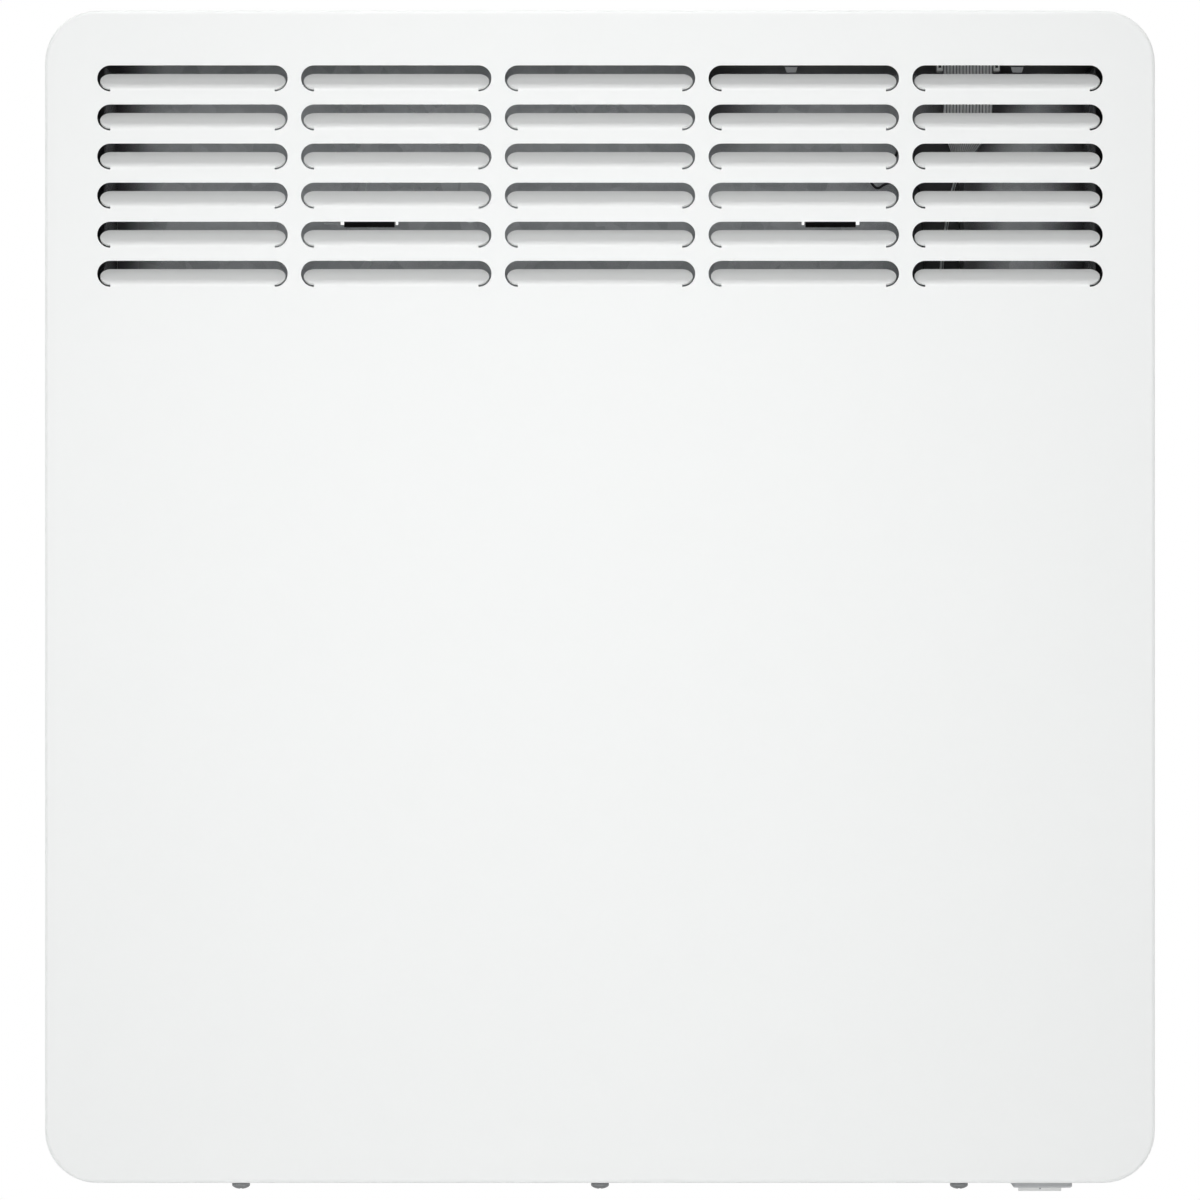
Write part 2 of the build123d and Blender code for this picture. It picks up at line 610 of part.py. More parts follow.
def rear_panel():
    """Shallow tray that closes the casing's back, its flanges inside the cover's band."""
    inset = COVER_T + SHEET_FIT
    width = CASE_WIDTH - 2 * inset
    height = CASE_HEIGHT - 2 * inset
    radius = CORNER_R - inset
    tray = rounded_slab(width, height, radius, Y_BACK - REAR_FLANGE, Y_BACK)
    tray -= rounded_slab(
        width - 2 * REAR_T, height - 2 * REAR_T, radius - REAR_T, Y_BACK - REAR_FLANGE - PAST, Y_REAR
    )
    bead_length = 2 * X_ARM - ARM_WIDTH - 2 * BEAD_END_GAP
    for step in (-1, 0, 1):
        at = Pos(0, step * BEAD_PITCH)
        bead = panel_plane(Y_BACK + BEAD_RISE) * (at * SlotOverall(bead_length, BEAD_HEIGHT))
        tray += extrude(bead, BEAD_RISE)
        inside = at * SlotOverall(bead_length - 2 * REAR_T, BEAD_HEIGHT - 2 * REAR_T)
        tray -= extrude(panel_plane(Y_REAR + BEAD_RISE) * inside, BEAD_RISE + REAR_T)
    z = (Z_WINDOW, Z_WINDOW + LATCH_WINDOW_HEIGHT)
    through = (Y_REAR - PAST, Y_BACK + PAST)
    cuts = [block(around(side * X_ARM, LATCH_WINDOW_WIDTH), through, z) for side in (-1, 1)]
    cuts.append(rod_y(X_GLAND, through, Z_GLAND, GLAND_BARREL_R))
    cuts.append(rod_y(X_EARTH, through, Z_EARTH, EARTH_STUD_R))
    z = (Z_BASE, Z_BASE + COVER_T + SHEET_FIT + REAR_T + PAST)
    cuts += [rod_z(x, Y_SCREW_BACK, z, SCREW_SHANK_R) for x in SCREW_XS]
    cuts += [rod_y(x, through, z, INNER_SHANK_R) for x, z, _ in inner_screw_places()]
    return tray.cut(*cuts)


def hanging_hooks():
    """Two straps welded to the rear panel, each curled over its pivot pin."""
    middle = PIN_R + PIN_CLEAR + HOOK_T / 2
    y_foot = Y_BACK + HOOK_T / 2
    path = FilletPolyline(
        (y_foot, Z_PIVOT + HOOK_FOOT),
        (y_foot, Z_PIVOT + middle),
        (Y_PIVOT + middle, Z_PIVOT + middle),
        (Y_PIVOT + middle, Z_PIVOT - HOOK_LEG),
        radius=(HOOK_BEND_R, middle),
    )
    strap = extrude(Plane.YZ.offset(-HOOK_WIDTH / 2) * trace(path, HOOK_T), HOOK_WIDTH)
    return group(Pos(side * X_ARM, 0, 0) * strap for side in (-1, 1))


def base_plate():
    """Sheet under the casing, with its lip inside the cover's flange and the intake window."""
    x = (-X_SIDE + CORNER_R + SHEET_FIT, X_SIDE - CORNER_R - SHEET_FIT)
    plate = block(x, (Y_BASE_FRONT, Y_BASE_BACK), (Z_BASE, Z_FLOOR))
    lip_y = (Y_FRONT + EDGE_R + LIP_FRONT_GAP, Y_BASE_FRONT + BASE_T)
    lip_z = (Z_BASE + COVER_T, Z_BASE + COVER_T + BASE_T)
    plate += block((x[0] + LIP_END_GAP, x[1] - LIP_END_GAP), lip_y, lip_z)
    z = (Z_BASE - PAST, lip_z[1] + PAST)
    cuts = [block(X_WINDOW, Y_WINDOW, z)]
    cuts += [rod_z(side, Y_SCREW_FRONT, z, SCREW_SHANK_R) for side in SCREW_XS]
    cuts += [rod_z(side, Y_SCREW_BACK, z, SCREW_HOLE_R) for side in SCREW_XS]
    cuts.append(block(around(X_SWITCH, SWITCH_BODY_WIDTH), around(Y_SWITCH, SWITCH_BODY_LENGTH), z))
    return plate.cut(*cuts)


def intake_guard():
    """Finger guard over the intake window: wires from side to side, and cross wires welded on them."""
    depth = Y_WINDOW[1] - Y_WINDOW[0]
    rows = math.ceil(depth / GUARD_PITCH)
    x = (X_WINDOW[0] - GUARD_LAND, X_WINDOW[1] + GUARD_LAND)
    z = Z_FLOOR + GUARD_WIRE_R
    wires = [rod_x(x, Y_WINDOW[0] + depth * row / rows, z, GUARD_WIRE_R) for row in range(1, rows)]
    bays = math.ceil((x[1] - x[0]) / GUARD_CROSS_PITCH)
    y = (Y_WINDOW[0] + GUARD_CROSS_GAP, Y_WINDOW[1] - GUARD_CROSS_GAP)
    span = x[1] - x[0] - 2 * GUARD_LAND
    for bay in range(bays + 1):
        at = X_WINDOW[0] + span * bay / bays
        wires.append(rod_y(at, y, z + 2 * GUARD_WIRE_R, GUARD_WIRE_R))
    return group(wires)


# ---- Air duct ----
def side_shield(side):
    """Upright sheet beside the element, its foot on the rear panel. side is -1 or 1."""
    z = (Z_BASE + COVER_T + 2 * SHEET_FIT + REAR_T, Z_TOP - SHIELD_DROP)
    wall = block((side * X_INNER, side * X_SHIELD), (Y_HEAT, Y_REAR), z)
    foot = block((side * (X_INNER - SHIELD_FOOT), side * X_INNER), (Y_REAR - SHIELD_T, Y_REAR), z)
    return wall + foot


def heat_shield():
    """Sheet between the element and the front, its side lips on the side shields."""
    z = (Z_BASE + HEAT_SHIELD_RISE, Z_TOP - HEAT_SHIELD_DROP)
    shield = block((-X_INNER, X_INNER), (Y_HEAT, Y_HEAT_BACK), z)
    for side in (-1, 1):
        x = (side * (X_INNER - SHIELD_T), side * X_INNER)
        shield += block(x, (Y_HEAT, Y_HEAT + HEAT_SHIELD_LIP), z)
    top_lip = block((-X_INNER, X_INNER), (Y_HEAT, Y_HEAT + HEAT_SHIELD_TOP_LIP), (z[1] - SHIELD_T, z[1]))
    return shield + top_lip


# ---- Wall bracket ----
def wall_bracket():
    """Two front-opening channels with two crossbars between them."""
    z = (Z_PIVOT - ARM_BELOW_PIVOT, Z_ARM_TOP)
    arm = block(around(0, ARM_WIDTH), (Y_ARM, 0), z)
    arm = fillet(arm.edges().filter_by(Axis.Z).group_by(Axis.Y)[-1], ARM_BEND_R)
    hollow_z = (z[0] - PAST, z[1] - BRACKET_T)
    hollow = block(around(0, ARM_WIDTH - 2 * BRACKET_T), (Y_ARM - PAST, -BRACKET_T), hollow_z)
    hollow = fillet(hollow.edges().filter_by(Axis.Z).group_by(Axis.Y)[-1], ARM_BEND_R - BRACKET_T)
    lug_z = (Z_LATCH_LUG - LATCH_LUG_FIT, Z_LATCH_LUG + LATCH_LUG + LATCH_TRAVEL + LATCH_LUG_FIT)
    stem_x = around(0, STEM_WIDTH + 2 * LATCH_SIDE_FIT)
    stem_y = around(latch_stem_y(), STEM_T + 2 * LATCH_SIDE_FIT)
    view_x = around(0, LATCH_WINDOW_WIDTH + 2 * ARM_VIEW_MARGIN)
    view_z = (Z_WINDOW - LATCH_SHOULDER, Z_WINDOW + 2 * ARM_VIEW_MARGIN)
    arm = arm.cut(
        hollow,
        rod_x(around(0, 2 * ARM_WIDTH), Y_PIVOT, Z_PIVOT, PIN_R),
        block(around(0, 2 * ARM_WIDTH), around(Y_ARM / 2, LATCH_LUG + 2 * LATCH_LUG_FIT), lug_z),
        block(stem_x, stem_y, (Z_ARM_TOP - 2 * BRACKET_T, Z_ARM_TOP + PAST)),
        block(view_x, (-BRACKET_T - PAST, PAST), view_z),
        *[rod_y(0, around(0, 4 * BRACKET_T), side * Z_SCREW_ROW, WALL_HOLE_R) for side in (-1, 1)],
    )
    bracket = (Pos(-X_ARM, 0, 0) * arm).fuse(Pos(X_ARM, 0, 0) * arm)
    x = (-X_ARM + ARM_WIDTH / 2 - ARM_BEND_R, X_ARM - ARM_WIDTH / 2 + ARM_BEND_R)
    x_lip = (-X_ARM + ARM_WIDTH / 2, X_ARM - ARM_WIDTH / 2)
    for side in (-1, 1):
        low, high = around(side * Z_SCREW_ROW, CROSSBAR_HEIGHT)
        bracket = bracket.fuse(
            block(x, (-BRACKET_T, 0), (low, high)),
            block(x_lip, (-CROSSBAR_LIP, 0), (low, low + BRACKET_T)),
            block(x_lip, (-CROSSBAR_LIP, 0), (high - BRACKET_T, high)),
        )
    return bracket


def pivot_pins():
    """Two headed pins across the arms' flanges."""
    half = ARM_WIDTH / 2
    pins = []
    for side in (-1, 1):
        middle = side * X_ARM
        pin = rod_x(around(middle, 2 * half), Y_PIVOT, Z_PIVOT, PIN_R)
        for end in (-1, 1):
            head = (middle + end * half, middle + end * (half + PIN_HEAD_T))
            pin += rod_x(head, Y_PIVOT, Z_PIVOT, PIN_R + PIN_HEAD_STEP)
        pins.append(pin)
    return group(pins)


def latch_stem_y():
    """Y of a latch's stem, near the wall side of its arm."""
    return -BRACKET_T - 2 * LATCH_SIDE_FIT - STEM_T / 2


def latch_spring_y():
    """Y of a latch's spring, in front of the stem."""
    return latch_stem_y() - STEM_T / 2 - SPRING_R - SPRING_GAP


def latch(side):
    """Sprung catch that slides in an arm: body with side lugs, nose, stem and finger tab."""
    body_x = around(0, ARM_WIDTH - 2 * BRACKET_T - 2 * LATCH_SIDE_FIT)
    front = Y_ARM + LATCH_FRONT_GAP
    body_y = (front, -BRACKET_T - LATCH_SIDE_FIT)
    shoulder = Z_WINDOW - LATCH_SHOULDER
    body = block(body_x, body_y, (Z_WINDOW - LATCH_BODY_BELOW, shoulder))
    body += block(around(0, NOSE_WIDTH), body_y, (shoulder, Z_NOSE_TOP))
    lug_x = around(0, ARM_WIDTH + 2 * LATCH_LUG_PROUD)
    body += block(lug_x, around(Y_ARM / 2, LATCH_LUG), (Z_LATCH_LUG, Z_LATCH_LUG + LATCH_LUG))
    lip = Y_REAR - NOSE_CLEAR
    tip = lip - NOSE_REACH
    outline = [
        (front, Z_NOSE),
        (lip, Z_NOSE),
        (lip, Z_WINDOW - NOSE_LAP),
        (lip - NOSE_LIP_T, Z_WINDOW - NOSE_LAP),
        (tip, Z_WINDOW + NOSE_LAP + NOSE_RAMP),
        (tip, Z_NOSE_TOP - NOSE_CHAMFER),
        (tip + NOSE_CHAMFER, Z_NOSE_TOP),
        (front, Z_NOSE_TOP),
    ]
    nose = make_face(Polyline(*outline, close=True))
    body += extrude(Plane.YZ.offset(-NOSE_WIDTH / 2) * nose, NOSE_WIDTH)
    stem_y = around(latch_stem_y(), STEM_T)
    tab_top = Z_ARM_TOP + LATCH_TRAVEL + TAB_HEIGHT
    body += block(around(0, STEM_WIDTH), stem_y, (Z_NOSE_TOP, tab_top))
    body += block(around(0, TAB_WIDTH), stem_y, (tab_top - TAB_HEIGHT, tab_top))
    return Pos(side * X_ARM, 0, 0) * body


def latch_spring(side):
    """The space of a compression spring between a latch and the arm's closed top."""
    z = (Z_NOSE_TOP, Z_ARM_TOP - BRACKET_T)
    outer = rod_z(side * X_ARM, latch_spring_y(), z, SPRING_R)
    return outer - rod_z(side * X_ARM, latch_spring_y(), z, SPRING_R - SPRING_WIRE)


# ---- Heating element ----
def leg_heights():
    return (Z_ELEMENT - LEG_PITCH / 2, Z_ELEMENT + LEG_PITCH / 2)


def element_rod():
    """Tubular element bent into a hairpin, its two ends at the right."""
    low, high = leg_heights()
    x_bend = X_LEFT_BRACKET - BUSH_LENGTH / 2 - ROD_BEND_GAP
    path = Curve() + [
        Line((X_ROD_END, Y_ELEMENT, low), (x_bend, Y_ELEMENT, low)),
        ThreePointArc(
            (x_bend, Y_ELEMENT, low),
            (x_bend - LEG_PITCH / 2, Y_ELEMENT, Z_ELEMENT),
            (x_bend, Y_ELEMENT, high),
        ),
        Line((x_bend, Y_ELEMENT, high), (X_ROD_END, Y_ELEMENT, high)),
    ]
    start = Plane(origin=(X_ROD_END, Y_ELEMENT, low), z_dir=(-1, 0, 0))
    return sweep(start * Circle(ROD_R), path)


def element_fins():
    """Thin fins pressed on both legs."""
    first = X_LEFT_BRACKET + FIN_END_GAP
    last = X_RIGHT_BRACKET - FIN_END_GAP
    count = int((last - first) // FIN_PITCH) + 1
    fin = block((0, FIN_T), around(Y_ELEMENT, FIN_DEPTH), around(Z_ELEMENT, FIN_HEIGHT))
    fin = fillet(fin.edges().filter_by(Axis.X), FIN_CORNER_R)
    fin = fin.cut(*[rod_x((-PAST, FIN_T + PAST), Y_ELEMENT, z, ROD_R) for z in leg_heights()])
    return group(Pos(first + FIN_PITCH * place, 0, 0) * fin for place in range(count))


def element_seals():
    """Ceramic seals in the rod's two ends."""
    x = (X_ROD_END, X_ROD_END + SEAL_LENGTH)
    seals = []
    for z in leg_heights():
        seals.append(rod_x(x, Y_ELEMENT, z, SEAL_R) - rod_x(x, Y_ELEMENT, z, PIN_TERMINAL_R))
    return group(seals)


def element_terminals():
    """Terminal pins that stand out of the rod's ends."""
    x = (X_ROD_END, X_TERMINAL_END)
    return group(rod_x(x, Y_ELEMENT, z, PIN_TERMINAL_R) for z in leg_heights())


def bracket_places():
    """The two end brackets, as (x of the plate's middle, side its foot points to)."""
    return ((X_LEFT_BRACKET, 1), (X_RIGHT_BRACKET, -1))


def end_bracket(x, towards):
    """Upright plate that carries the rod's legs, its foot on the rear panel."""
    z = around(Z_ELEMENT, END_BRACKET_HEIGHT)
    plate = block(around(x, END_BRACKET_T), (Y_HEAT_BACK + END_BRACKET_GAP, Y_REAR), z)
    plate += block((x, x + towards * END_BRACKET_FOOT), (Y_REAR - END_BRACKET_T, Y_REAR), z)
    x_plate = around(x, END_BRACKET_T + 2 * PAST)
    cuts = [rod_x(x_plate, Y_ELEMENT, height, BUSH_R) for height in leg_heights()]
    x_foot = x + towards * END_BRACKET_FOOT / 2
    y_foot = (Y_REAR - END_BRACKET_T - PAST, Y_REAR + PAST)
    cuts += [rod_y(x_foot, y_foot, height, INNER_HOLE_R) for height in foot_screw_heights()]
    return plate.cut(*cuts)


def foot_screw_heights():
    reach = END_BRACKET_HEIGHT / 2 - FOOT_SCREW_INSET
    return (Z_ELEMENT - reach, Z_ELEMENT + reach)


def element_bushes():
    """Insulating bushes that hold the rod in the end brackets."""
    bushes = []
    for x, _ in bracket_places():
        for z in leg_heights():
            bush = rod_x(around(x, BUSH_LENGTH), Y_ELEMENT, z, BUSH_R)
            collar = (x + END_BRACKET_T / 2, x + BUSH_LENGTH / 2)
            bush += rod_x(collar, Y_ELEMENT, z, BUSH_R + BUSH_FLANGE)
            bushes.append(bush - rod_x(around(x, 2 * BUSH_LENGTH), Y_ELEMENT, z, ROD_R))
    return group(bushes)


def cutout_shelf_z():
    return Z_ELEMENT + FIN_HEIGHT / 2 + CUTOUT_RISE


def cutout_y():
    return Y_REAR - CUTOUT_SHELF + CUTOUT_R + CUTOUT_SHELF_EDGE


def cutout_bracket():
    """Small angle that holds the thermal cut-out over the fins."""
    x = around(CUTOUT_X, CUTOUT_WIDTH)
    z = cutout_shelf_z()
    angle = block(x, (Y_REAR - CUTOUT_SHELF, Y_REAR), (z, z + CUTOUT_SHELF_T))
    angle += block(x, (Y_REAR - CUTOUT_SHELF_T, Y_REAR), (z, z + CUTOUT_FOOT))
    through = (Y_REAR - CUTOUT_SHELF_T - PAST, Y_REAR + PAST)
    return angle - rod_y(CUTOUT_X, through, z + CUTOUT_SCREW_RISE, INNER_HOLE_R)


def thermal_cutout():
    """Bimetal disc thermostat: round case, clamping ring with ears, two tabs."""
    z = cutout_shelf_z() + CUTOUT_SHELF_T
    y = cutout_y()
    case = rod_z(CUTOUT_X, y, (z, z + CUTOUT_HEIGHT), CUTOUT_R)
    case += block(around(CUTOUT_X, 2.4 * CUTOUT_R), around(y, CUTOUT_R), (z, z + CUTOUT_EAR_T))
    tab_z = (z + CUTOUT_HEIGHT, z + CUTOUT_HEIGHT + CUTOUT_TAB)
    for side in (-1, 1):
        tab_y = around(y + side * CUTOUT_TAB_OFFSET, CUTOUT_TAB_T)
        case += block(around(CUTOUT_X, CUTOUT_TAB), tab_y, tab_z)
    return case


# ---- Electronics ----
def housing_shell(x, open_side):
    """Half of the electronics housing, open towards open_side of X."""
    outer = block(x, (Y_HOUSING, Y_HOUSING_BACK), (Z_HOUSING, Z_HOUSING_TOP))
    wall = HOUSING_WALL
    inner_x = (x[0] + wall, x[1] + PAST) if open_side > 0 else (x[0] - PAST, x[1] - wall)
    inner_y = (Y_HOUSING + wall, Y_HOUSING_BACK - wall)
    return outer - block(inner_x, inner_y, (Z_HOUSING + wall, Z_HOUSING_TOP - wall))


def wire_slot(x):
    """Cutter for the wires' slot in the housing's bottom."""
    y = (Y_SWITCH + WIRE_SLOT_Y[0], Y_SWITCH + WIRE_SLOT_Y[1])
    return block(x, y, (Z_HOUSING - PAST, Z_HOUSING + HOUSING_WALL + PAST))


def board_posts():
    """The middle of each board post, as (y, z)."""
    inset = HOUSING_WALL + BOARD_MARGIN + POST_R
    ys = (Y_HOUSING + inset, Y_HOUSING_BACK - inset)
    zs = (Z_HOUSING + inset, Z_HOUSING_TOP - inset)
    return [(y, z) for y in ys for z in zs]


def housing_tray():
    """Half on the side shield, with four posts for the board."""
    tray = housing_shell((X_SPLIT, X_INNER), -1)
    posts = (X_BOARD + BOARD_T, X_INNER - HOUSING_WALL)
    tray = tray.fuse(*[rod_x(posts, y, z, POST_R) for y, z in board_posts()])
    return tray - wire_slot((X_SPLIT - PAST, X_SPLIT + WIRE_SLOT_X[1]))


def housing_lid():
    """Half towards the element, with vents and the ribbon's slot."""
    lid = housing_shell((X_HOUSING, X_SPLIT), 1)
    top = (Z_HOUSING_TOP - HOUSING_WALL - PAST, Z_HOUSING_TOP + PAST)
    slot_y = around(Y_RIBBON, RIBBON_WIDTH + 2 * PAST)
    cuts = [block(around(ribbon_plug_x(), RIBBON_SLOT), slot_y, top)]
    vent_x = (X_HOUSING - PAST, X_HOUSING + HOUSING_WALL + PAST)
    y = (Y_HOUSING + VENT_INSET, Y_HOUSING_BACK - VENT_INSET)
    for step in range(VENTS):
        z = Z_HOUSING_TOP - VENT_DROP - VENT_PITCH * step
        cuts.append(block(vent_x, y, (z, z + VENT_HEIGHT)))
    cuts.append(wire_slot((X_SPLIT + WIRE_SLOT_X[0], X_SPLIT + PAST)))
    return lid.cut(*cuts)


def power_board():
    """Circuit board, upright and square to X."""
    margin = HOUSING_WALL + BOARD_MARGIN
    y = (Y_HOUSING + margin, Y_HOUSING_BACK - margin)
    board = block((X_BOARD, X_BOARD + BOARD_T), y, (Z_HOUSING + margin, Z_HOUSING_TOP - margin))
    return fillet(board.edges().filter_by(Axis.X), BOARD_CORNER_R)


def on_board(size, y, z):
    """A block that stands on the power board's component side. size is its height, depth and width."""
    return block((X_BOARD - size[0], X_BOARD), around(y, size[1]), around(z, size[2]))


def relay():
    """Sealed relay on the power board."""
    piece = on_board(RELAY, Y_HOUSING_BACK - RELAY_FROM_BACK, Z_HOUSING + RELAY_RISE)
    return fillet(piece.edges().group_by(Axis.X)[0], RELAY_EDGE_R)


def transformer():
    """Small block transformer on its board."""
    piece = on_board(TRANSFORMER, Y_HOUSING + TRANSFORMER_FROM_FRONT, Z_HOUSING + TRANSFORMER_RISE)
    return chamfer(piece.edges().group_by(Axis.X)[0], TRANSFORMER_CHAMFER)


def capacitors():
    """Three upright capacitors."""
    x = (X_BOARD - CAPACITOR_HEIGHT, X_BOARD)
    cans = [rod_x(x, Y_HOUSING + y, Z_HOUSING + z, CAPACITOR_R) for y, z in CAPACITOR_PLACES]
    return group(
        fillet(can.edges().filter_by(GeomType.CIRCLE).group_by(Axis.X)[0], CAPACITOR_EDGE_R) for can in cans
    )


def ribbon_plug_x():
    """X of the ribbon where it meets its plug on the power board."""
    return X_BOARD - PLUG_DEPTH + RIBBON_PLUG_INSET


def ribbon_plug_z():
    return Z_HOUSING_TOP - PLUG_DROP


def board_connectors():
    """Ribbon plug at the board's top and a row of wire terminals at its foot."""
    plug = on_board((PLUG_DEPTH, PLUG_LENGTH, PLUG_HEIGHT), Y_RIBBON, ribbon_plug_z())
    strip = on_board(STRIP, Y_HOUSING_BACK - STRIP_FROM_BACK, Z_HOUSING + STRIP_RISE)
    return group((plug, strip))


def terminal_block():
    """Three-way mains terminal block on the rear panel, with a barrel for each screw."""
    width, depth, height = TERMINAL_BLOCK
    body = block(around(X_BLOCK, width), (Y_REAR - depth, Y_REAR), around(Z_BLOCK, height))
    front = Y_REAR - depth
    groove_width, groove_depth = TERMINAL_GROOVE
    groove_y = (front - PAST, front + groove_depth)
    cuts = []
    for step in (-1, 0, 1):
        x = X_BLOCK + step * TERMINAL_PITCH
        cuts.append(rod_y(x, (front - PAST, front + TERMINAL_HOLE_DEPTH), Z_BLOCK, TERMINAL_HOLE_R))
        if step < 1:
            groove_x = around(x + TERMINAL_PITCH / 2, groove_width)
            cuts.append(block(groove_x, groove_y, around(Z_BLOCK, height + 2 * PAST)))
    return body.cut(*cuts)


# ---- Wiring ----
def wiring_channel():
    """Insulating channel on the rear panel, open to the front."""
    x = (X_CHANNEL, X_CHANNEL + CHANNEL_WIDTH)
    outer = block(x, (Y_REAR - CHANNEL_DEPTH, Y_REAR), (Z_CHANNEL_BOTTOM, Z_CHANNEL_TOP))
    inner_x = (x[0] + CHANNEL_WALL, x[1] - CHANNEL_WALL)
    inner_y = (Y_REAR - CHANNEL_DEPTH - PAST, Y_REAR - CHANNEL_WALL)
    return outer - block(inner_x, inner_y, (Z_CHANNEL_BOTTOM - PAST, Z_CHANNEL_TOP + PAST))


def ribbon_cable():
    """Flat cable: square to Y at the top, a quarter twist, then edge-on down to the power board."""
    x = around(X_RIBBON, RIBBON_WIDTH)
    flat = block(x, around(Y_RIBBON, RIBBON_T), (Z_TWIST, Z_RIBBON_TOP))
    sections = []
    shift = -RIBBON_TWIST_SHARE * RIBBON_LOW_SHIFT
    for step in range(RIBBON_TWIST_STEPS + 1):
        part = step / RIBBON_TWIST_STEPS
        at = Plane(
            origin=(X_RIBBON + shift * part, Y_RIBBON, Z_TWIST - RIBBON_TWIST_LENGTH * part),
            x_dir=(math.cos(part * math.pi / 2), -math.sin(part * math.pi / 2), 0),
            z_dir=(0, 0, -1),
        )
        sections.append(at * Rectangle(RIBBON_WIDTH, RIBBON_T))
    twist = loft(sections, ruled=True)
    points = [
        (X_RIBBON + shift, Z_TWIST_END),
        (X_RIBBON_LOW, Z_TWIST_END - RIBBON_SLANT),
        (X_RIBBON_LOW, Z_HOUSING_TOP + RIBBON_JOG[0]),
        (ribbon_plug_x(), Z_HOUSING_TOP + RIBBON_JOG[1]),
        (ribbon_plug_x(), ribbon_plug_z() + PLUG_HEIGHT / 2),
    ]
    path = FilletPolyline(*points, radius=RIBBON_BENDS)
    y_plane = panel_plane(Y_RIBBON + RIBBON_WIDTH / 2)
    edge_on = extrude(y_plane * trace(path, RIBBON_T), RIBBON_WIDTH)
    return flat + twist + edge_on


def mains_wires():
    """Live and neutral from the terminal block to the switch and on to the power board."""
    wires = []
    for step, side in ((-1, -1), (0, 1)):
        x_block = X_BLOCK + step * TERMINAL_PITCH
        x_tab = X_SWITCH + side * TAB_SPACING_X / 2
        y_tab = Y_SWITCH - TAB_SPACING_Y / 2
        y_block = Y_REAR - TERMINAL_BLOCK[1] / 2
        z_block = Z_BLOCK + TERMINAL_BLOCK[2] / 2
        rise = 5.0 * step
        wires.append(
            [
                (x_block, y_block, z_block),
                (x_block, y_block, z_block + 8.0),
                (x_block + 8.0, y_block - 10.0, z_block + 15.0 + rise),
                (X_GLAND - 6.0, Y_ELEMENT - 6.0 + rise, z_block + 14.0 + rise),
                (x_tab, y_tab, Z_TAB_TOP + 14.0),
                (x_tab, y_tab, Z_TAB_TOP),
            ]
        )
    runs = [lead(points, WIRE_R) for points in wires]
    for side in (-1, 1):
        x_tab = X_SWITCH + side * TAB_SPACING_X / 2
        y_tab = Y_SWITCH + TAB_SPACING_Y / 2
        runs.append(rod_z(x_tab, y_tab, (Z_TAB_TOP, Z_HOUSING + 12.0), WIRE_R))
    return group(runs)


def earth_wire():
    """From the terminal block's foot to the earth terminal's ring."""
    x = X_BLOCK + TERMINAL_PITCH
    y = Y_REAR - TERMINAL_BLOCK[1] / 2
    z = Z_BLOCK - TERMINAL_BLOCK[2] / 2
    ring = Y_REAR - RING_T - WIRE_R
    points = [
        (x, y, z),
        (x, y, z - 7.0),
        (x + 14.0, y, Z_EARTH + 1.0),
        (X_EARTH - 18.0, ring, Z_EARTH),
        (X_EARTH - 5.0, ring, Z_EARTH),
    ]
    return lead(points, WIRE_R)


def element_wires():
    """From the element's pins and the thermal cut-out to the electronics housing."""
    routes = []
    for side, z in zip((-1, 1), leg_heights()):
        routes.append(
            [
                (X_TERMINAL_END, Y_ELEMENT, z),
                (X_TERMINAL_END + 9.0, Y_ELEMENT, z),
                (X_HOUSING - 9.0, Y_ELEMENT - 8.0, z + 8.0),
                (X_HOUSING, Y_ELEMENT - 8.0, z + 8.0),
            ]
        )
    z = cutout_shelf_z() + CUTOUT_SHELF_T + CUTOUT_HEIGHT + CUTOUT_TAB / 2
    for side in (-1, 1):
        y = cutout_y() + side * CUTOUT_TAB_OFFSET
        low = z - 8.0 + 3.0 * side
        start = CUTOUT_X + CUTOUT_TAB / 2
        routes.append(
            [
                (start, y, z),
                (start + 12.0, y, z),
                (X_HOUSING - 30.0, Y_HOUSING_BACK - 2.0, low),
                (X_HOUSING - 10.0, Y_HOUSING_BACK - 9.0, low),
                (X_HOUSING, Y_HOUSING_BACK - 9.0, low),
            ]
        )
    return group(lead(points, WIRE_R) for points in routes)


def sensor_lead():
    """Thin lead from the room sensor up into the electronics housing."""
    points = [
        (X_SENSOR, Y_SENSOR, Z_FLOOR + SENSOR_HEIGHT),
        (X_SENSOR, Y_SENSOR, Z_FLOOR + SENSOR_HEIGHT + 16.0),
        (X_HOUSING + 5.0, Y_SENSOR + 6.0, Z_HOUSING - 14.0),
        (X_HOUSING + 5.0, Y_SENSOR + 6.0, Z_HOUSING),
    ]
    return lead(points, THIN_LEAD_R)


def unit_lead():
    """Thin lead down out of the programming unit, with a slack loop before it enters the wiring channel."""
    y_channel = Y_REAR - CHANNEL_DEPTH / 2
    x_channel = X_CHANNEL + 9.0
    points = [
        (X_LEAD, Y_RIBBON, Z_UNIT),
        (X_LEAD, Y_RIBBON, Z_LEAD_LOOP + 6.6),
        (X_LEAD - 18.5, y_channel - 15.3, Z_LEAD_LOOP + 9.1),
        (X_LEAD - 9.3, y_channel - 9.3, Z_LEAD_LOOP),
        (X_LEAD - 5.0, y_channel - 9.3, Z_LEAD_LOOP + 2.9),
        (X_CHANNEL + 2.0, y_channel - 13.3, Z_LEAD_LOOP + 3.3),
        (x_channel, y_channel, Z_LEAD_LOOP - 2.0),
        (x_channel, y_channel, Z_CHANNEL_BOTTOM + 12.0),
        (x_channel + 8.0, y_channel - 6.0, Z_CHANNEL_BOTTOM - 2.0),
        (X_HOUSING + 6.0, Y_HOUSING_BACK - 8.0, Z_HOUSING_TOP + 8.0),
        (X_HOUSING + 6.0, Y_HOUSING_BACK - 8.0, Z_HOUSING_TOP),
    ]
    return lead(points, THIN_LEAD_R, 16.0)


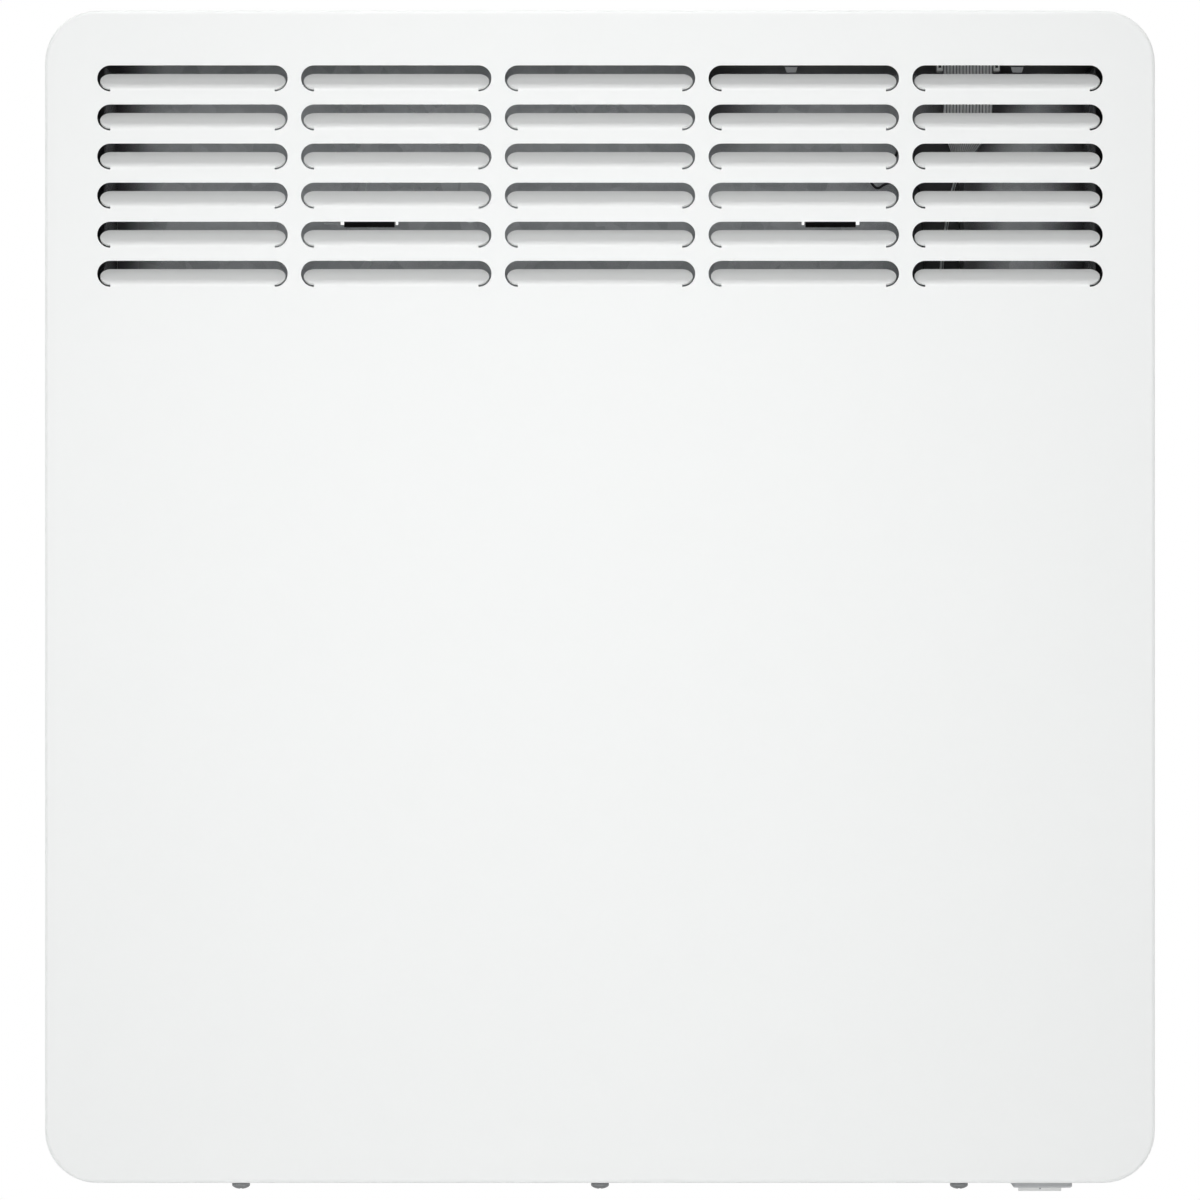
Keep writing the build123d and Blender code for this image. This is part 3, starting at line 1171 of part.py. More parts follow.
# ---- Programming unit ----
def lug_places():
    """X of the two snap lugs."""
    return [X_UNIT + side * (UNIT_WIDTH / 2 - LUG_INSET) for side in (-1, 1)]


def unit_housing():
    """Open-topped tray in the casing's top, with two snap lugs under it."""
    x = around(X_UNIT, UNIT_WIDTH)
    y = (Y_UNIT, Y_UNIT + UNIT_DEPTH)
    tray = block(x, y, (Z_UNIT, Z_TOP))
    wall = UNIT_WALL
    tray -= block((x[0] + wall, x[1] - wall), (y[0] + wall, y[1] - wall), (Z_UNIT + wall, Z_TOP + PAST))
    inset = wall + UNIT_BOARD_GAP + POST_R
    for post_x in (x[0] + inset, x[1] - inset):
        for post_y in (y[0] + inset, y[1] - inset):
            tray += rod_z(post_x, post_y, (Z_UNIT + wall, Z_UNIT_BOARD), POST_R)
    lug = Polyline(
        (-LUG_TOP / 2, Z_UNIT),
        (LUG_TOP / 2, Z_UNIT),
        (LUG_BOTTOM / 2, Z_UNIT - LUG_DROP),
        (-LUG_BOTTOM / 2, Z_UNIT - LUG_DROP),
        close=True,
    )
    for x_lug in lug_places():
        tray += extrude(panel_plane(Y_UNIT + LUG_T) * (Pos(x_lug, 0) * make_face(lug)), LUG_T)
    plug_x = around(X_RIBBON, PLUG_LENGTH + 2 * UNIT_FIT)
    plug_y = around(Y_RIBBON, CONNECTOR_DEPTH + 2 * UNIT_FIT)
    return tray - block(plug_x, plug_y, (Z_UNIT - PAST, Z_UNIT + wall + PAST))


def unit_baffle():
    """Plate round the foot of the tray that keeps the warm air off it."""
    right = X_SIDE - BAFFLE_INSET
    front = Y_FRONT + BAFFLE_GAP
    z = (Z_UNIT, Z_UNIT + BAFFLE_T)
    plate = block((right - BAFFLE_WIDTH, right), (front, front + BAFFLE_DEPTH), z)
    return plate - block(around(X_UNIT, UNIT_WIDTH), (Y_UNIT, Y_UNIT + UNIT_DEPTH), z)


def key_places():
    """The middle of each key, as (x, y), front row first."""
    xs = [X_KEYS + side * KEY_PITCH_X / 2 for side in (-1, 1)]
    ys = [Y_UNIT_MID + side * KEY_PITCH_Y / 2 for side in (-1, 1)]
    return [(x, y) for y in ys for x in xs]


def unit_fascia():
    """Top plate whose rim rests on the casing, with the window's opening and four key holes."""
    size = (UNIT_WIDTH + 2 * RIM, UNIT_DEPTH + 2 * RIM)
    outline = Pos(X_UNIT, Y_UNIT_MID) * RectangleRounded(*size, RIM_R)
    plate = extrude(Plane.XY.offset(Z_TOP) * outline, RIM_T)
    plate = fillet(plate.faces().sort_by(Axis.Z)[-1].edges(), FASCIA_EDGE_R)
    z = (Z_TOP - PAST, Z_TOP + RIM_T + PAST)
    window = (DISPLAY_WIDTH + 2 * DISPLAY_FIT, DISPLAY_DEPTH + 2 * DISPLAY_FIT)
    cuts = [block(around(X_DISPLAY, window[0]), around(Y_UNIT_MID, window[1]), z)]
    for x, y in key_places():
        cuts.append(block(around(x, KEY_WIDTH + 2 * KEY_FIT), around(y, KEY_DEPTH + 2 * KEY_FIT), z))
    return plate.cut(*cuts)


def display_window():
    """Clear window, flush in the fascia."""
    x = around(X_DISPLAY, DISPLAY_WIDTH)
    return block(x, around(Y_UNIT_MID, DISPLAY_DEPTH), (Z_TOP, Z_TOP + RIM_T))


def display_module():
    """Display and its holder, between board and window."""
    x = around(X_DISPLAY, DISPLAY_WIDTH + 2 * DISPLAY_FRAME)
    y = around(Y_UNIT_MID, DISPLAY_DEPTH + 2 * DISPLAY_FRAME)
    return block(x, y, (Z_UNIT_BOARD_TOP, Z_TOP))


def control_board():
    """Circuit board on the unit's posts."""
    gap = UNIT_WALL + UNIT_BOARD_GAP
    x = around(X_UNIT, UNIT_WIDTH - 2 * gap)
    return block(x, around(Y_UNIT_MID, UNIT_DEPTH - 2 * gap), (Z_UNIT_BOARD, Z_UNIT_BOARD_TOP))


def key_switches():
    """Four small push switches on the control board."""
    switches = []
    z = Z_UNIT_BOARD_TOP
    for x, y in key_places():
        body = block(around(x, TACT_SIZE), around(y, TACT_SIZE), (z, z + TACT_HEIGHT - TACT_BUTTON))
        switches.append(body + rod_z(x, y, (z, z + TACT_HEIGHT), TACT_BUTTON_R))
    return group(switches)


def key(x, y):
    """Push key: cap through the fascia, flange under it, stem down to its switch."""
    top = Z_TOP + RIM_T + KEY_PROUD
    seat = Z_TOP - KEY_SEAT_GAP
    cap = block(around(x, KEY_WIDTH), around(y, KEY_DEPTH), (seat, top))
    cap = fillet(cap.edges().filter_by(Axis.Z), KEY_CORNER_R)
    cap = fillet(cap.faces().sort_by(Axis.Z)[-1].edges(), KEY_EDGE_R)
    size = (KEY_WIDTH + 2 * KEY_FLANGE, KEY_DEPTH + 2 * KEY_FLANGE)
    cap += block(around(x, size[0]), around(y, size[1]), (seat - KEY_FLANGE_T, seat))
    foot = Z_UNIT_BOARD_TOP + TACT_HEIGHT + KEY_TRAVEL + KEY_GAP
    return cap + rod_z(x, y, (foot, seat - KEY_FLANGE_T), KEY_STEM_R)


def unit_connector():
    """Ribbon connector under the control board, with an ear at each end."""
    x = around(X_RIBBON, PLUG_LENGTH)
    body = block(x, around(Y_RIBBON, CONNECTOR_DEPTH), (Z_RIBBON_TOP, Z_UNIT_BOARD))
    for side in (-1, 1):
        x = (X_RIBBON + side * (RIBBON_WIDTH / 2 + EAR_GAP), X_RIBBON + side * PLUG_LENGTH / 2)
        body += block(x, around(Y_RIBBON, EAR_DEPTH), (Z_EAR, Z_RIBBON_TOP))
    return body


# ---- Mains switch ----
def switch_body():
    """Bezel under the base plate and body through it, with the rocker's pocket."""
    bezel = Plane.XY.offset(Z_BASE - BEZEL_T) * (
        Pos(X_SWITCH, Y_SWITCH) * RectangleRounded(BEZEL_WIDTH, BEZEL_LENGTH, BEZEL_R)
    )
    body = extrude(bezel, BEZEL_T)
    body = fillet(body.faces().sort_by(Axis.Z)[0].edges(), BEZEL_EDGE_R)
    x = around(X_SWITCH, SWITCH_BODY_WIDTH)
    body += block(x, around(Y_SWITCH, SWITCH_BODY_LENGTH), (Z_BASE, Z_SWITCH_TOP))
    pocket_x = around(X_SWITCH, ROCKER_WIDTH + 2 * ROCKER_GAP)
    pocket_y = around(Y_SWITCH, 2 * (ROCKER_R + ROCKER_GAP))
    body -= block(pocket_x, pocket_y, (Z_BASE - BEZEL_T - PAST, Z_ROCKER + ROCKER_R / 2))
    reach = around(X_SWITCH, ROCKER_WIDTH + 2 * (TRUNNION_REACH + ROCKER_GAP))
    return body - rod_x(reach, Y_SWITCH, Z_ROCKER, TRUNNION_R + TRUNNION_CLEAR)


def rocker():
    """Rocker on two trunnions, tipped to its rest side."""
    rise = ROCKER_RISE * ROCKER_R
    slab = make_face(
        Polyline(
            (-ROCKER_R, -ROCKER_SHOULDER),
            (-ROCKER_R, -ROCKER_DEPTH - rise),
            (0, -ROCKER_DEPTH),
            (ROCKER_R, -ROCKER_DEPTH - rise),
            (ROCKER_R, -ROCKER_SHOULDER),
            (ROCKER_R / 2, ROCKER_BACK),
            (-ROCKER_R / 2, ROCKER_BACK),
            close=True,
        )
    )
    profile = slab & Circle(ROCKER_R)
    paddle = extrude(Plane.YZ.offset(-ROCKER_WIDTH / 2) * profile, ROCKER_WIDTH)
    paddle += rod_x(around(0, ROCKER_WIDTH + 2 * TRUNNION_REACH), 0, 0, TRUNNION_R)
    return Pos(X_SWITCH, Y_SWITCH, Z_ROCKER) * Rot(-ROCKER_TILT, 0, 0) * paddle


def switch_terminals():
    """Four tabs on the switch body's top."""
    width, thickness, height = TAB_TERMINAL
    tabs = []
    for side_x in (-1, 1):
        for side_y in (-1, 1):
            x = around(X_SWITCH + side_x * TAB_SPACING_X / 2, thickness)
            y = around(Y_SWITCH + side_y * TAB_SPACING_Y / 2, width)
            tabs.append(block(x, y, (Z_SWITCH_TOP, Z_SWITCH_TOP + height)))
    return group(tabs)


# ---- Gland, earth, sensor ----
def cord_gland():
    """Bushing for the supply cord, through the rear panel."""
    y = (Y_REAR - GLAND_LENGTH, Y_BACK + GLAND_FLANGE_T)
    gland = rod_y(X_GLAND, (y[0], Y_BACK), Z_GLAND, GLAND_BARREL_R)
    flange = rod_y(X_GLAND, (Y_BACK, y[1]), Z_GLAND, GLAND_BARREL_R + GLAND_FLANGE)
    flange = fillet(flange.edges().filter_by(GeomType.CIRCLE).group_by(Axis.Y)[-1], GLAND_EDGE_R)
    gland += flange
    return gland - rod_y(X_GLAND, (y[0] - PAST, y[1] + PAST), Z_GLAND, GLAND_BORE_R)


def gland_nut():
    """Hexagonal nut that clamps the gland inside the rear panel."""
    y = (Y_REAR - GLAND_NUT_T, Y_REAR)
    nut = hexagon_y(X_GLAND, y, Z_GLAND, GLAND_BARREL_R + GLAND_NUT)
    return nut - rod_y(X_GLAND, (y[0] - PAST, y[1] + PAST), Z_GLAND, GLAND_BARREL_R)


def earth_terminal():
    """Earth stud with its ring and nut."""
    stud = rod_y(X_EARTH, (Y_BACK - EARTH_STUD_LENGTH, Y_BACK), Z_EARTH, EARTH_STUD_R)
    ring_y = (Y_REAR - RING_T, Y_REAR)
    nut_y = (ring_y[0] - EARTH_NUT_T, ring_y[0])
    hole = (nut_y[0] - PAST, Y_REAR + PAST)
    ring = rod_y(X_EARTH, ring_y, Z_EARTH, RING_R)
    ring += block((X_EARTH - RING_TAIL[0], X_EARTH), ring_y, around(Z_EARTH, RING_TAIL[1]))
    nut = hexagon_y(X_EARTH, nut_y, Z_EARTH, EARTH_NUT_R)
    bore = rod_y(X_EARTH, hole, Z_EARTH, EARTH_STUD_R)
    return group((stud, ring - bore, nut - bore))


def room_sensor():
    """Holder on the base plate with the sensor's bead in front."""
    x = around(X_SENSOR, SENSOR_SIZE)
    holder = block(x, around(Y_SENSOR, SENSOR_SIZE), (Z_FLOOR, Z_FLOOR + SENSOR_HEIGHT))
    slot_z = (Z_FLOOR + SENSOR_SLOT_END, Z_FLOOR + SENSOR_HEIGHT - SENSOR_SLOT_END)
    holder -= block(around(X_SENSOR, SENSOR_SIZE / 2), (Y_SENSOR - SENSOR_SIZE, Y_SENSOR), slot_z)
    bead = rod_z(X_SENSOR, Y_SENSOR - SENSOR_BEAD_R, (slot_z[0], slot_z[1]), SENSOR_BEAD_R)
    return group((holder, bead))


# ---- Screws ----
def case_screws():
    """Pan-head screws up into the base: a front row through the cover, a rear row through the plate."""
    screw = pan_screw(SCREW_HEAD_R, SCREW_HEAD_H, SCREW_SHANK_R, SCREW_LENGTH)
    places = [(x, y) for y in (Y_SCREW_FRONT, Y_SCREW_BACK) for x in SCREW_XS]
    return group(Pos(x, y, Z_BASE) * screw for x, y in places)


def inner_screw_places():
    """Small screws through the rear panel from inside, as (x, z, thickness that each clamps)."""
    places = []
    for x, towards in bracket_places():
        for z in foot_screw_heights():
            places.append((x + towards * END_BRACKET_FOOT / 2, z, END_BRACKET_T))
    places.append((CUTOUT_X, cutout_shelf_z() + CUTOUT_SCREW_RISE, CUTOUT_SHELF_T))
    return places


def inner_screws():
    """Small screws that hold the end brackets and the cut-out's bracket."""
    screws = []
    for x, z, clamped in inner_screw_places():
        length = clamped + REAR_T + INNER_TIP
        screw = pan_screw(INNER_HEAD_R, INNER_HEAD_H, INNER_SHANK_R, length)
        screws.append(Pos(x, Y_REAR - clamped, z) * Rot(-90, 0, 0) * screw)
    return group(screws)


def all_nodes():
    """Every node by name."""
    nodes = {
        "wall_bracket": wall_bracket(),
        "pivot_pins": pivot_pins(),
        "latch_left": latch(-1),
        "latch_right": latch(1),
        "latch_spring_left": latch_spring(-1),
        "latch_spring_right": latch_spring(1),
        "front_cover": front_cover(),
        "rear_panel": rear_panel(),
        "hanging_hooks": hanging_hooks(),
        "base_plate": base_plate(),
        "intake_guard": intake_guard(),
        "side_shield_left": side_shield(-1),
        "side_shield_right": side_shield(1),
        "heat_shield": heat_shield(),
        "element_rod": element_rod(),
        "element_fins": element_fins(),
        "element_seals": element_seals(),
        "element_terminals": element_terminals(),
        "element_bushes": element_bushes(),
        "element_bracket_left": end_bracket(*bracket_places()[0]),
        "element_bracket_right": end_bracket(*bracket_places()[1]),
        "thermal_cutout": thermal_cutout(),
        "cutout_bracket": cutout_bracket(),
        "housing_tray": housing_tray(),
        "housing_lid": housing_lid(),
        "power_board": power_board(),
        "relay": relay(),
        "transformer": transformer(),
        "capacitors": capacitors(),
        "board_connectors": board_connectors(),
        "terminal_block": terminal_block(),
        "wiring_channel": wiring_channel(),
        "ribbon_cable": ribbon_cable(),
        "mains_wires": mains_wires(),
        "earth_wire": earth_wire(),
        "element_wires": element_wires(),
        "sensor_lead": sensor_lead(),
        "unit_lead": unit_lead(),
        "unit_housing": unit_housing(),
        "unit_baffle": unit_baffle(),
        "unit_fascia": unit_fascia(),
        "display_window": display_window(),
        "display_module": display_module(),
        "control_board": control_board(),
        "key_switches": key_switches(),
        "unit_connector": unit_connector(),
        "switch_body": switch_body(),
        "rocker": rocker(),
        "switch_terminals": switch_terminals(),
        "cord_gland": cord_gland(),
        "gland_nut": gland_nut(),
        "earth_terminal": earth_terminal(),
        "room_sensor": room_sensor(),
        "case_screws": case_screws(),
        "inner_screws": inner_screws(),
    }
    for number, place in enumerate(key_places(), start=1):
        nodes[f"key_{number}"] = key(*place)
    return nodes


os.makedirs("parts", exist_ok=True)
for name, shape in all_nodes().items():
    export_step(shape, f"parts/{name}.step")
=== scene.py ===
import json
import math

import bmesh
import bpy
import numpy as np
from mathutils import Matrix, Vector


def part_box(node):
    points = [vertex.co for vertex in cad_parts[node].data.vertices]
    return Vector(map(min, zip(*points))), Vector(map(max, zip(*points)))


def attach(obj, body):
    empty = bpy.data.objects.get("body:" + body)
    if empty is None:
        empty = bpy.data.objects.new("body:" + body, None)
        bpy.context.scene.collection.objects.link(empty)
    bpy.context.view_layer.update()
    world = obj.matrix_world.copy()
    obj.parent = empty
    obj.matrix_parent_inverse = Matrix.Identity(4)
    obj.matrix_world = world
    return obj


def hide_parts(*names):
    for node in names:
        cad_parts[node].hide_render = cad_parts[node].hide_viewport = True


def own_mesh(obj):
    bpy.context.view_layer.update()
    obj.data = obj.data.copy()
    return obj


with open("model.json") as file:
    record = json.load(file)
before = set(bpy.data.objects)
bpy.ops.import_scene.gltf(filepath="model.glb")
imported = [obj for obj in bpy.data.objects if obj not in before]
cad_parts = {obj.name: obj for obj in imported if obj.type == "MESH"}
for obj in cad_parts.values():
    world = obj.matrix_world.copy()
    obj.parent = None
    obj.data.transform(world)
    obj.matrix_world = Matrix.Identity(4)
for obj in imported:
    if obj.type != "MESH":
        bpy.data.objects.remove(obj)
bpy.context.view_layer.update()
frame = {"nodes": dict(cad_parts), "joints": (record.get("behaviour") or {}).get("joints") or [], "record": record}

# Wall panel convector heater. Metres, in the frame of the construction: +X right seen from the front, the
# front face looks towards -Y, +Z up, the origin on the wall plane in the middle of the wall screws.
NODES = frame["nodes"]
FULL_TURN = 2 * math.pi
QUARTER_TURN = math.pi / 2


# ---- Places read from the frame ----
def low(node):
    """A node's lowest corner at rest."""
    return np.array(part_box(node)[0])


def high(node):
    """A node's highest corner at rest."""
    return np.array(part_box(node)[1])


def middle(node):
    return (low(node) + high(node)) / 2


def joint(name):
    """A joint's row in the record."""
    return next(row for row in frame["joints"] if row["name"] == name)


# ---- Shader nodes ----
def add_node(tree, kind, inputs=None, **settings):
    """A shader node with its settings. Its inputs are values, or sockets that are linked to them."""
    node = tree.nodes.new("ShaderNode" + kind)
    for name, value in settings.items():
        setattr(node, name, value)
    for name, value in (inputs or {}).items():
        if isinstance(value, bpy.types.NodeSocket):
            tree.links.new(value, node.inputs[name])
        else:
            node.inputs[name].default_value = value
    return node


def calculate(tree, operation, *values, clamp=False):
    """The result of a Math node."""
    inputs = dict(enumerate(values))
    return add_node(tree, "Math", inputs, operation=operation, use_clamp=clamp).outputs[0]


def ramp(tree, value, start, end, shape="LINEAR"):
    """A mask that goes from 0 at the start to 1 at the end."""
    inputs = {"Value": value, "From Min": start, "From Max": end}
    return add_node(tree, "MapRange", inputs, interpolation_type=shape).outputs["Result"]


# ---- Camera, light and floor ----
CAMERA_AWAY = 3.5  # lens to front sheet
CAMERA_HEIGHT = -0.0012
CAMERA_REACH = 50.0
FRAME_WIDTH = 0.4605  # width of the picture at the front sheet
SENSOR_WIDTH = 36.0
WORLD_COLOUR = (0.98, 0.99, 1.0)
WORLD_LEVEL = 0.225
# name, place, what it points at, side lengths, watts, seen in reflections. The first three light the
# front; the others stand behind the front sheet's plane and light the rest of the part.
LAMPS = (
    ("front_lamp", (-0.05, -1.02, 0.10), (0.0, -0.12, 0.05), (0.5, 0.4), 4.3, False),
    ("upper_lamp", (-0.1, -1.0, 0.8), (0.0, -0.12, 0.05), (0.6, 0.4), 1.3, True),
    ("crest_lamp", (-0.1, -0.29, 1.25), (0.0, -0.12, 0.15), (0.9, 0.07), 5.0, True),
    ("top_lamp", (0.1, 0.25, 1.25), (0.0, -0.05, 0.2), (1.2, 0.8), 2.5, False),
    ("left_lamp", (-1.7, 0.25, 0.3), (0.0, -0.05, 0.0), (1.2, 1.0), 8.0, False),
    ("right_lamp", (1.7, 0.25, 0.3), (0.0, -0.05, 0.0), (1.2, 1.0), 7.0, False),
    ("back_lamp", (0.5, 1.6, 0.5), (0.0, 0.0, 0.0), (1.4, 1.0), 13.0, False),
)
FLOOR_DROP = 0.15  # heater's lowest point to the floor
FLOOR_HALF = 1.9
FLOOR_FADE = (0.25, 0.95)  # shares of the half side between which it turns white
FLOOR_COLOUR = (0.86, 0.86, 0.86)


def make_camera():
    """Long lens square to the front sheet."""
    data = bpy.data.cameras.new("camera")
    data.sensor_width = SENSOR_WIDTH
    data.lens = SENSOR_WIDTH * CAMERA_AWAY / FRAME_WIDTH
    data.clip_end = CAMERA_REACH
    camera = bpy.data.objects.new("camera", data)
    camera.location = (0.0, low("front_cover")[1] - CAMERA_AWAY, CAMERA_HEIGHT)
    camera.rotation_euler = (QUARTER_TURN, 0.0, 0.0)
    bpy.context.scene.collection.objects.link(camera)
    bpy.context.scene.camera = camera


def make_world():
    """White to the camera, to reflections and through glass; a plain mid grey to everything else."""
    world = bpy.data.worlds.new("studio")
    bpy.context.scene.world = world
    world.use_nodes = True
    tree = world.node_tree
    tree.nodes.clear()
    rays = add_node(tree, "LightPath").outputs
    seen = calculate(tree, "ADD", rays["Is Camera Ray"], rays["Is Glossy Ray"])
    seen = calculate(tree, "ADD", seen, rays["Is Transmission Ray"], clamp=True)
    plain = add_node(tree, "Background", {"Color": (*WORLD_COLOUR, 1.0), "Strength": WORLD_LEVEL})
    white = add_node(tree, "Background", {"Color": (1.0, 1.0, 1.0, 1.0), "Strength": 1.0})
    mix = add_node(tree, "MixShader", {"Fac": seen, 1: plain.outputs[0], 2: white.outputs[0]})
    add_node(tree, "OutputWorld", {"Surface": mix.outputs[0]})


def make_lamps():
    """Soft square lamps, unseen by the camera."""
    for name, place, target, (width, height), power, mirrored in LAMPS:
        data = bpy.data.lights.new(name, "AREA")
        data.shape = "RECTANGLE"
        data.size, data.size_y = width, height
        data.energy = power
        lamp = bpy.data.objects.new(name, data)
        lamp.location = place
        lamp.rotation_euler = aim_rotation(unit(np.array(target) - np.array(place)))
        lamp.visible_camera = False
        lamp.visible_glossy = mirrored
        bpy.context.scene.collection.objects.link(lamp)


def aim_rotation(aim):
    """Euler angles that turn -Z to the aim: tip by the angle from straight down, then turn about Z."""
    return (math.acos(-aim[2]), 0.0, math.atan2(aim[1], aim[0]) - QUARTER_TURN)


def unit(vectors):
    return vectors / np.linalg.norm(vectors, axis=-1, keepdims=True)


def make_floor():
    """Pale square floor under the heater, fading to the white of the background."""
    corners = FLOOR_HALF * np.array([(-1, -1, 0), (1, -1, 0), (1, 1, 0), (-1, 1, 0)], float)
    corners[:, 2] = low("rocker")[2] - FLOOR_DROP
    mesh = bpy.data.meshes.new("floor")
    mesh.from_pydata(corners.tolist(), [], [(0, 1, 2, 3)])
    floor = bpy.data.objects.new("floor", mesh)
    floor.data.materials.append(floor_material())
    bpy.context.scene.collection.objects.link(floor)


# ---- Effects: node groups that several finishes share ----
class Effect:
    """A node group under construction. It reads Object coordinates and puts out masks and heights."""

    def __init__(self, name, inputs, outputs):
        self.tree = bpy.data.node_groups.new(name, "ShaderNodeTree")
        for label, default in inputs.items():
            kind = "NodeSocketVector" if isinstance(default, tuple) else "NodeSocketFloat"
            socket = self.tree.interface.new_socket(label, in_out="INPUT", socket_type=kind)
            socket.default_value = default
        for label in outputs:
            self.tree.interface.new_socket(label, in_out="OUTPUT", socket_type="NodeSocketFloat")
        self.given = self.tree.nodes.new("NodeGroupInput").outputs
        self.results = self.tree.nodes.new("NodeGroupOutput").inputs
        self.place = add_node(self.tree, "TexCoord").outputs["Object"]

    def stretched(self, vector):
        """Object coordinates multiplied by a vector."""
        inputs = {0: self.place, 1: vector}
        return add_node(self.tree, "VectorMath", inputs, operation="MULTIPLY").outputs["Vector"]

    def noise(self, scale, detail, vector=None):
        inputs = {"Vector": vector or self.place, "Scale": scale, "Detail": detail}
        return add_node(self.tree, "TexNoise", inputs).outputs["Fac"]

    def cells(self, scale, feature="F1"):
        inputs = {"Vector": self.place, "Scale": scale}
        return add_node(self.tree, "TexVoronoi", inputs, feature=feature).outputs

    def math(self, operation, *values):
        return calculate(self.tree, operation, *values)

    def smooth(self, value, ends):
        """A smooth rise from 0 to 1 between two ends."""
        return ramp(self.tree, value, *ends, shape="SMOOTHSTEP")

    def give(self, **values):
        """Link the group's outputs, named with underscores for spaces, and return the group."""
        for name, value in values.items():
            self.tree.links.new(value, self.results[name.replace("_", " ")])
        return self.tree


def paint_skin():
    """Powder coat: a fine grain over a wider waviness, and a cloud mask for its slight changes of tone."""
    effect = Effect("paint_skin", {"Grain": 2600.0, "Wave": 420.0, "Cloud": 9.0}, ("Height", "Clouds"))
    grain = effect.noise(effect.given["Grain"], 2.0)
    wave = effect.noise(effect.given["Wave"], 1.0)
    height = effect.math("ADD", effect.math("MULTIPLY", grain, GRAIN_SHARE), wave)
    return effect.give(Height=height, Clouds=effect.noise(effect.given["Cloud"], 3.0))


def rolled_grain():
    """Rolled or drawn metal: noise stretched along one direction, with broad stains across it."""
    inputs = {"Stretch": (900.0, 900.0, 12.0), "Stain": 60.0}
    effect = Effect("rolled_grain", inputs, ("Height", "Streaks", "Stains"))
    streaks = effect.noise(1.0, 3.0, effect.stretched(effect.given["Stretch"]))
    return effect.give(Height=streaks, Streaks=streaks, Stains=effect.noise(effect.given["Stain"], 4.0))


def zinc_spangle():
    """Zinc coat: a random tone for each crystal, two sizes of crystal together, and their raised edges."""
    inputs = {"Crystals": 120.0, "Small crystals": 330.0}
    effect = Effect("zinc_spangle", inputs, ("Height", "Crystal tone"))
    tones = []
    for name, share in zip(inputs, CRYSTAL_SHARES):
        colour = effect.cells(effect.given[name])["Color"]
        tone = add_node(effect.tree, "SeparateColor", {"Color": colour}).outputs["Red"]
        tones.append(effect.math("MULTIPLY", tone, share))
    edges = effect.cells(effect.given["Crystals"], "DISTANCE_TO_EDGE")
    return effect.give(Height=edges["Distance"], Crystal_tone=effect.math("ADD", *tones))


def painted_inner_shade():
    """Painted shade on the zinc inside the casing, as a mask of 0 to 1, and none outside.

    It is the largest of three ramps: one towards both sides, one right of the wiring channel, whose edge
    leans to the right as it rises, and one under the left end of the plate round the unit's foot.
    """
    effect = Effect("painted_inner_shade", {}, ("Shade",))
    place = add_node(effect.tree, "SeparateXYZ", {"Vector": effect.place}).outputs
    x, y, z = (place[axis] for axis in "XYZ")
    sides = effect.smooth(effect.math("ABSOLUTE", x), SHADE_SIDES)
    rise = effect.math("MAXIMUM", effect.math("SUBTRACT", z, SHADE_LEAN_FOOT), 0.0)
    leaning = effect.math("SUBTRACT", x, effect.math("MULTIPLY", rise, SHADE_LEAN))
    edge = effect.smooth(leaning, SHADE_CHANNEL_EDGE)
    channel = effect.math("MULTIPLY", effect.smooth(x, SHADE_CHANNEL), edge)
    end = effect.math("MULTIPLY", *(effect.smooth(x, ends) for ends in SHADE_PLATE_END))
    end = effect.math("MULTIPLY", end, effect.smooth(z, SHADE_PLATE_RISE))
    shade = effect.math("MAXIMUM", effect.math("MAXIMUM", sides, channel), end)
    return effect.give(Shade=effect.math("MULTIPLY", shade, effect.smooth(y, SHADE_INSIDE)))


def moulded_grain():
    """Spark-textured moulding: small round pits, and a faint cloud where the mould has worn smoother."""
    effect = Effect("moulded_grain", {"Pits": 1500.0, "Cloud": 40.0}, ("Height", "Clouds"))
    pits = effect.cells(effect.given["Pits"], "SMOOTH_F1")["Distance"]
    return effect.give(Height=pits, Clouds=effect.noise(effect.given["Cloud"], 3.0))


GRAIN_SHARE = 0.45  # of the paint's fine grain in its height
CRYSTAL_SHARES = (0.7, 0.3)  # of the large and the small crystals in the zinc's tone
SHADE_SIDES = (0.170, 0.191)  # |x| where the painted shade starts, and where it is full
SHADE_CHANNEL = (0.100, 0.155)  # x
SHADE_CHANNEL_EDGE = (0.163, 0.145)  # x, less the lean
SHADE_LEAN_FOOT = 0.170  # z from which the edge leans
SHADE_LEAN = 0.5
SHADE_PLATE_END = ((0.0385, 0.0415), (0.070, 0.044))  # x, from the left and from the right
SHADE_PLATE_RISE = (0.165, 0.192)  # z
SHADE_INSIDE = (-0.0233, -0.0234)  # y of the rear panel's inner face
PAINT_SKIN = paint_skin()
ROLLED_GRAIN = rolled_grain()
ZINC_SPANGLE = zinc_spangle()
MOULDED_GRAIN = moulded_grain()
PAINTED_INNER_SHADE = painted_inner_shade()


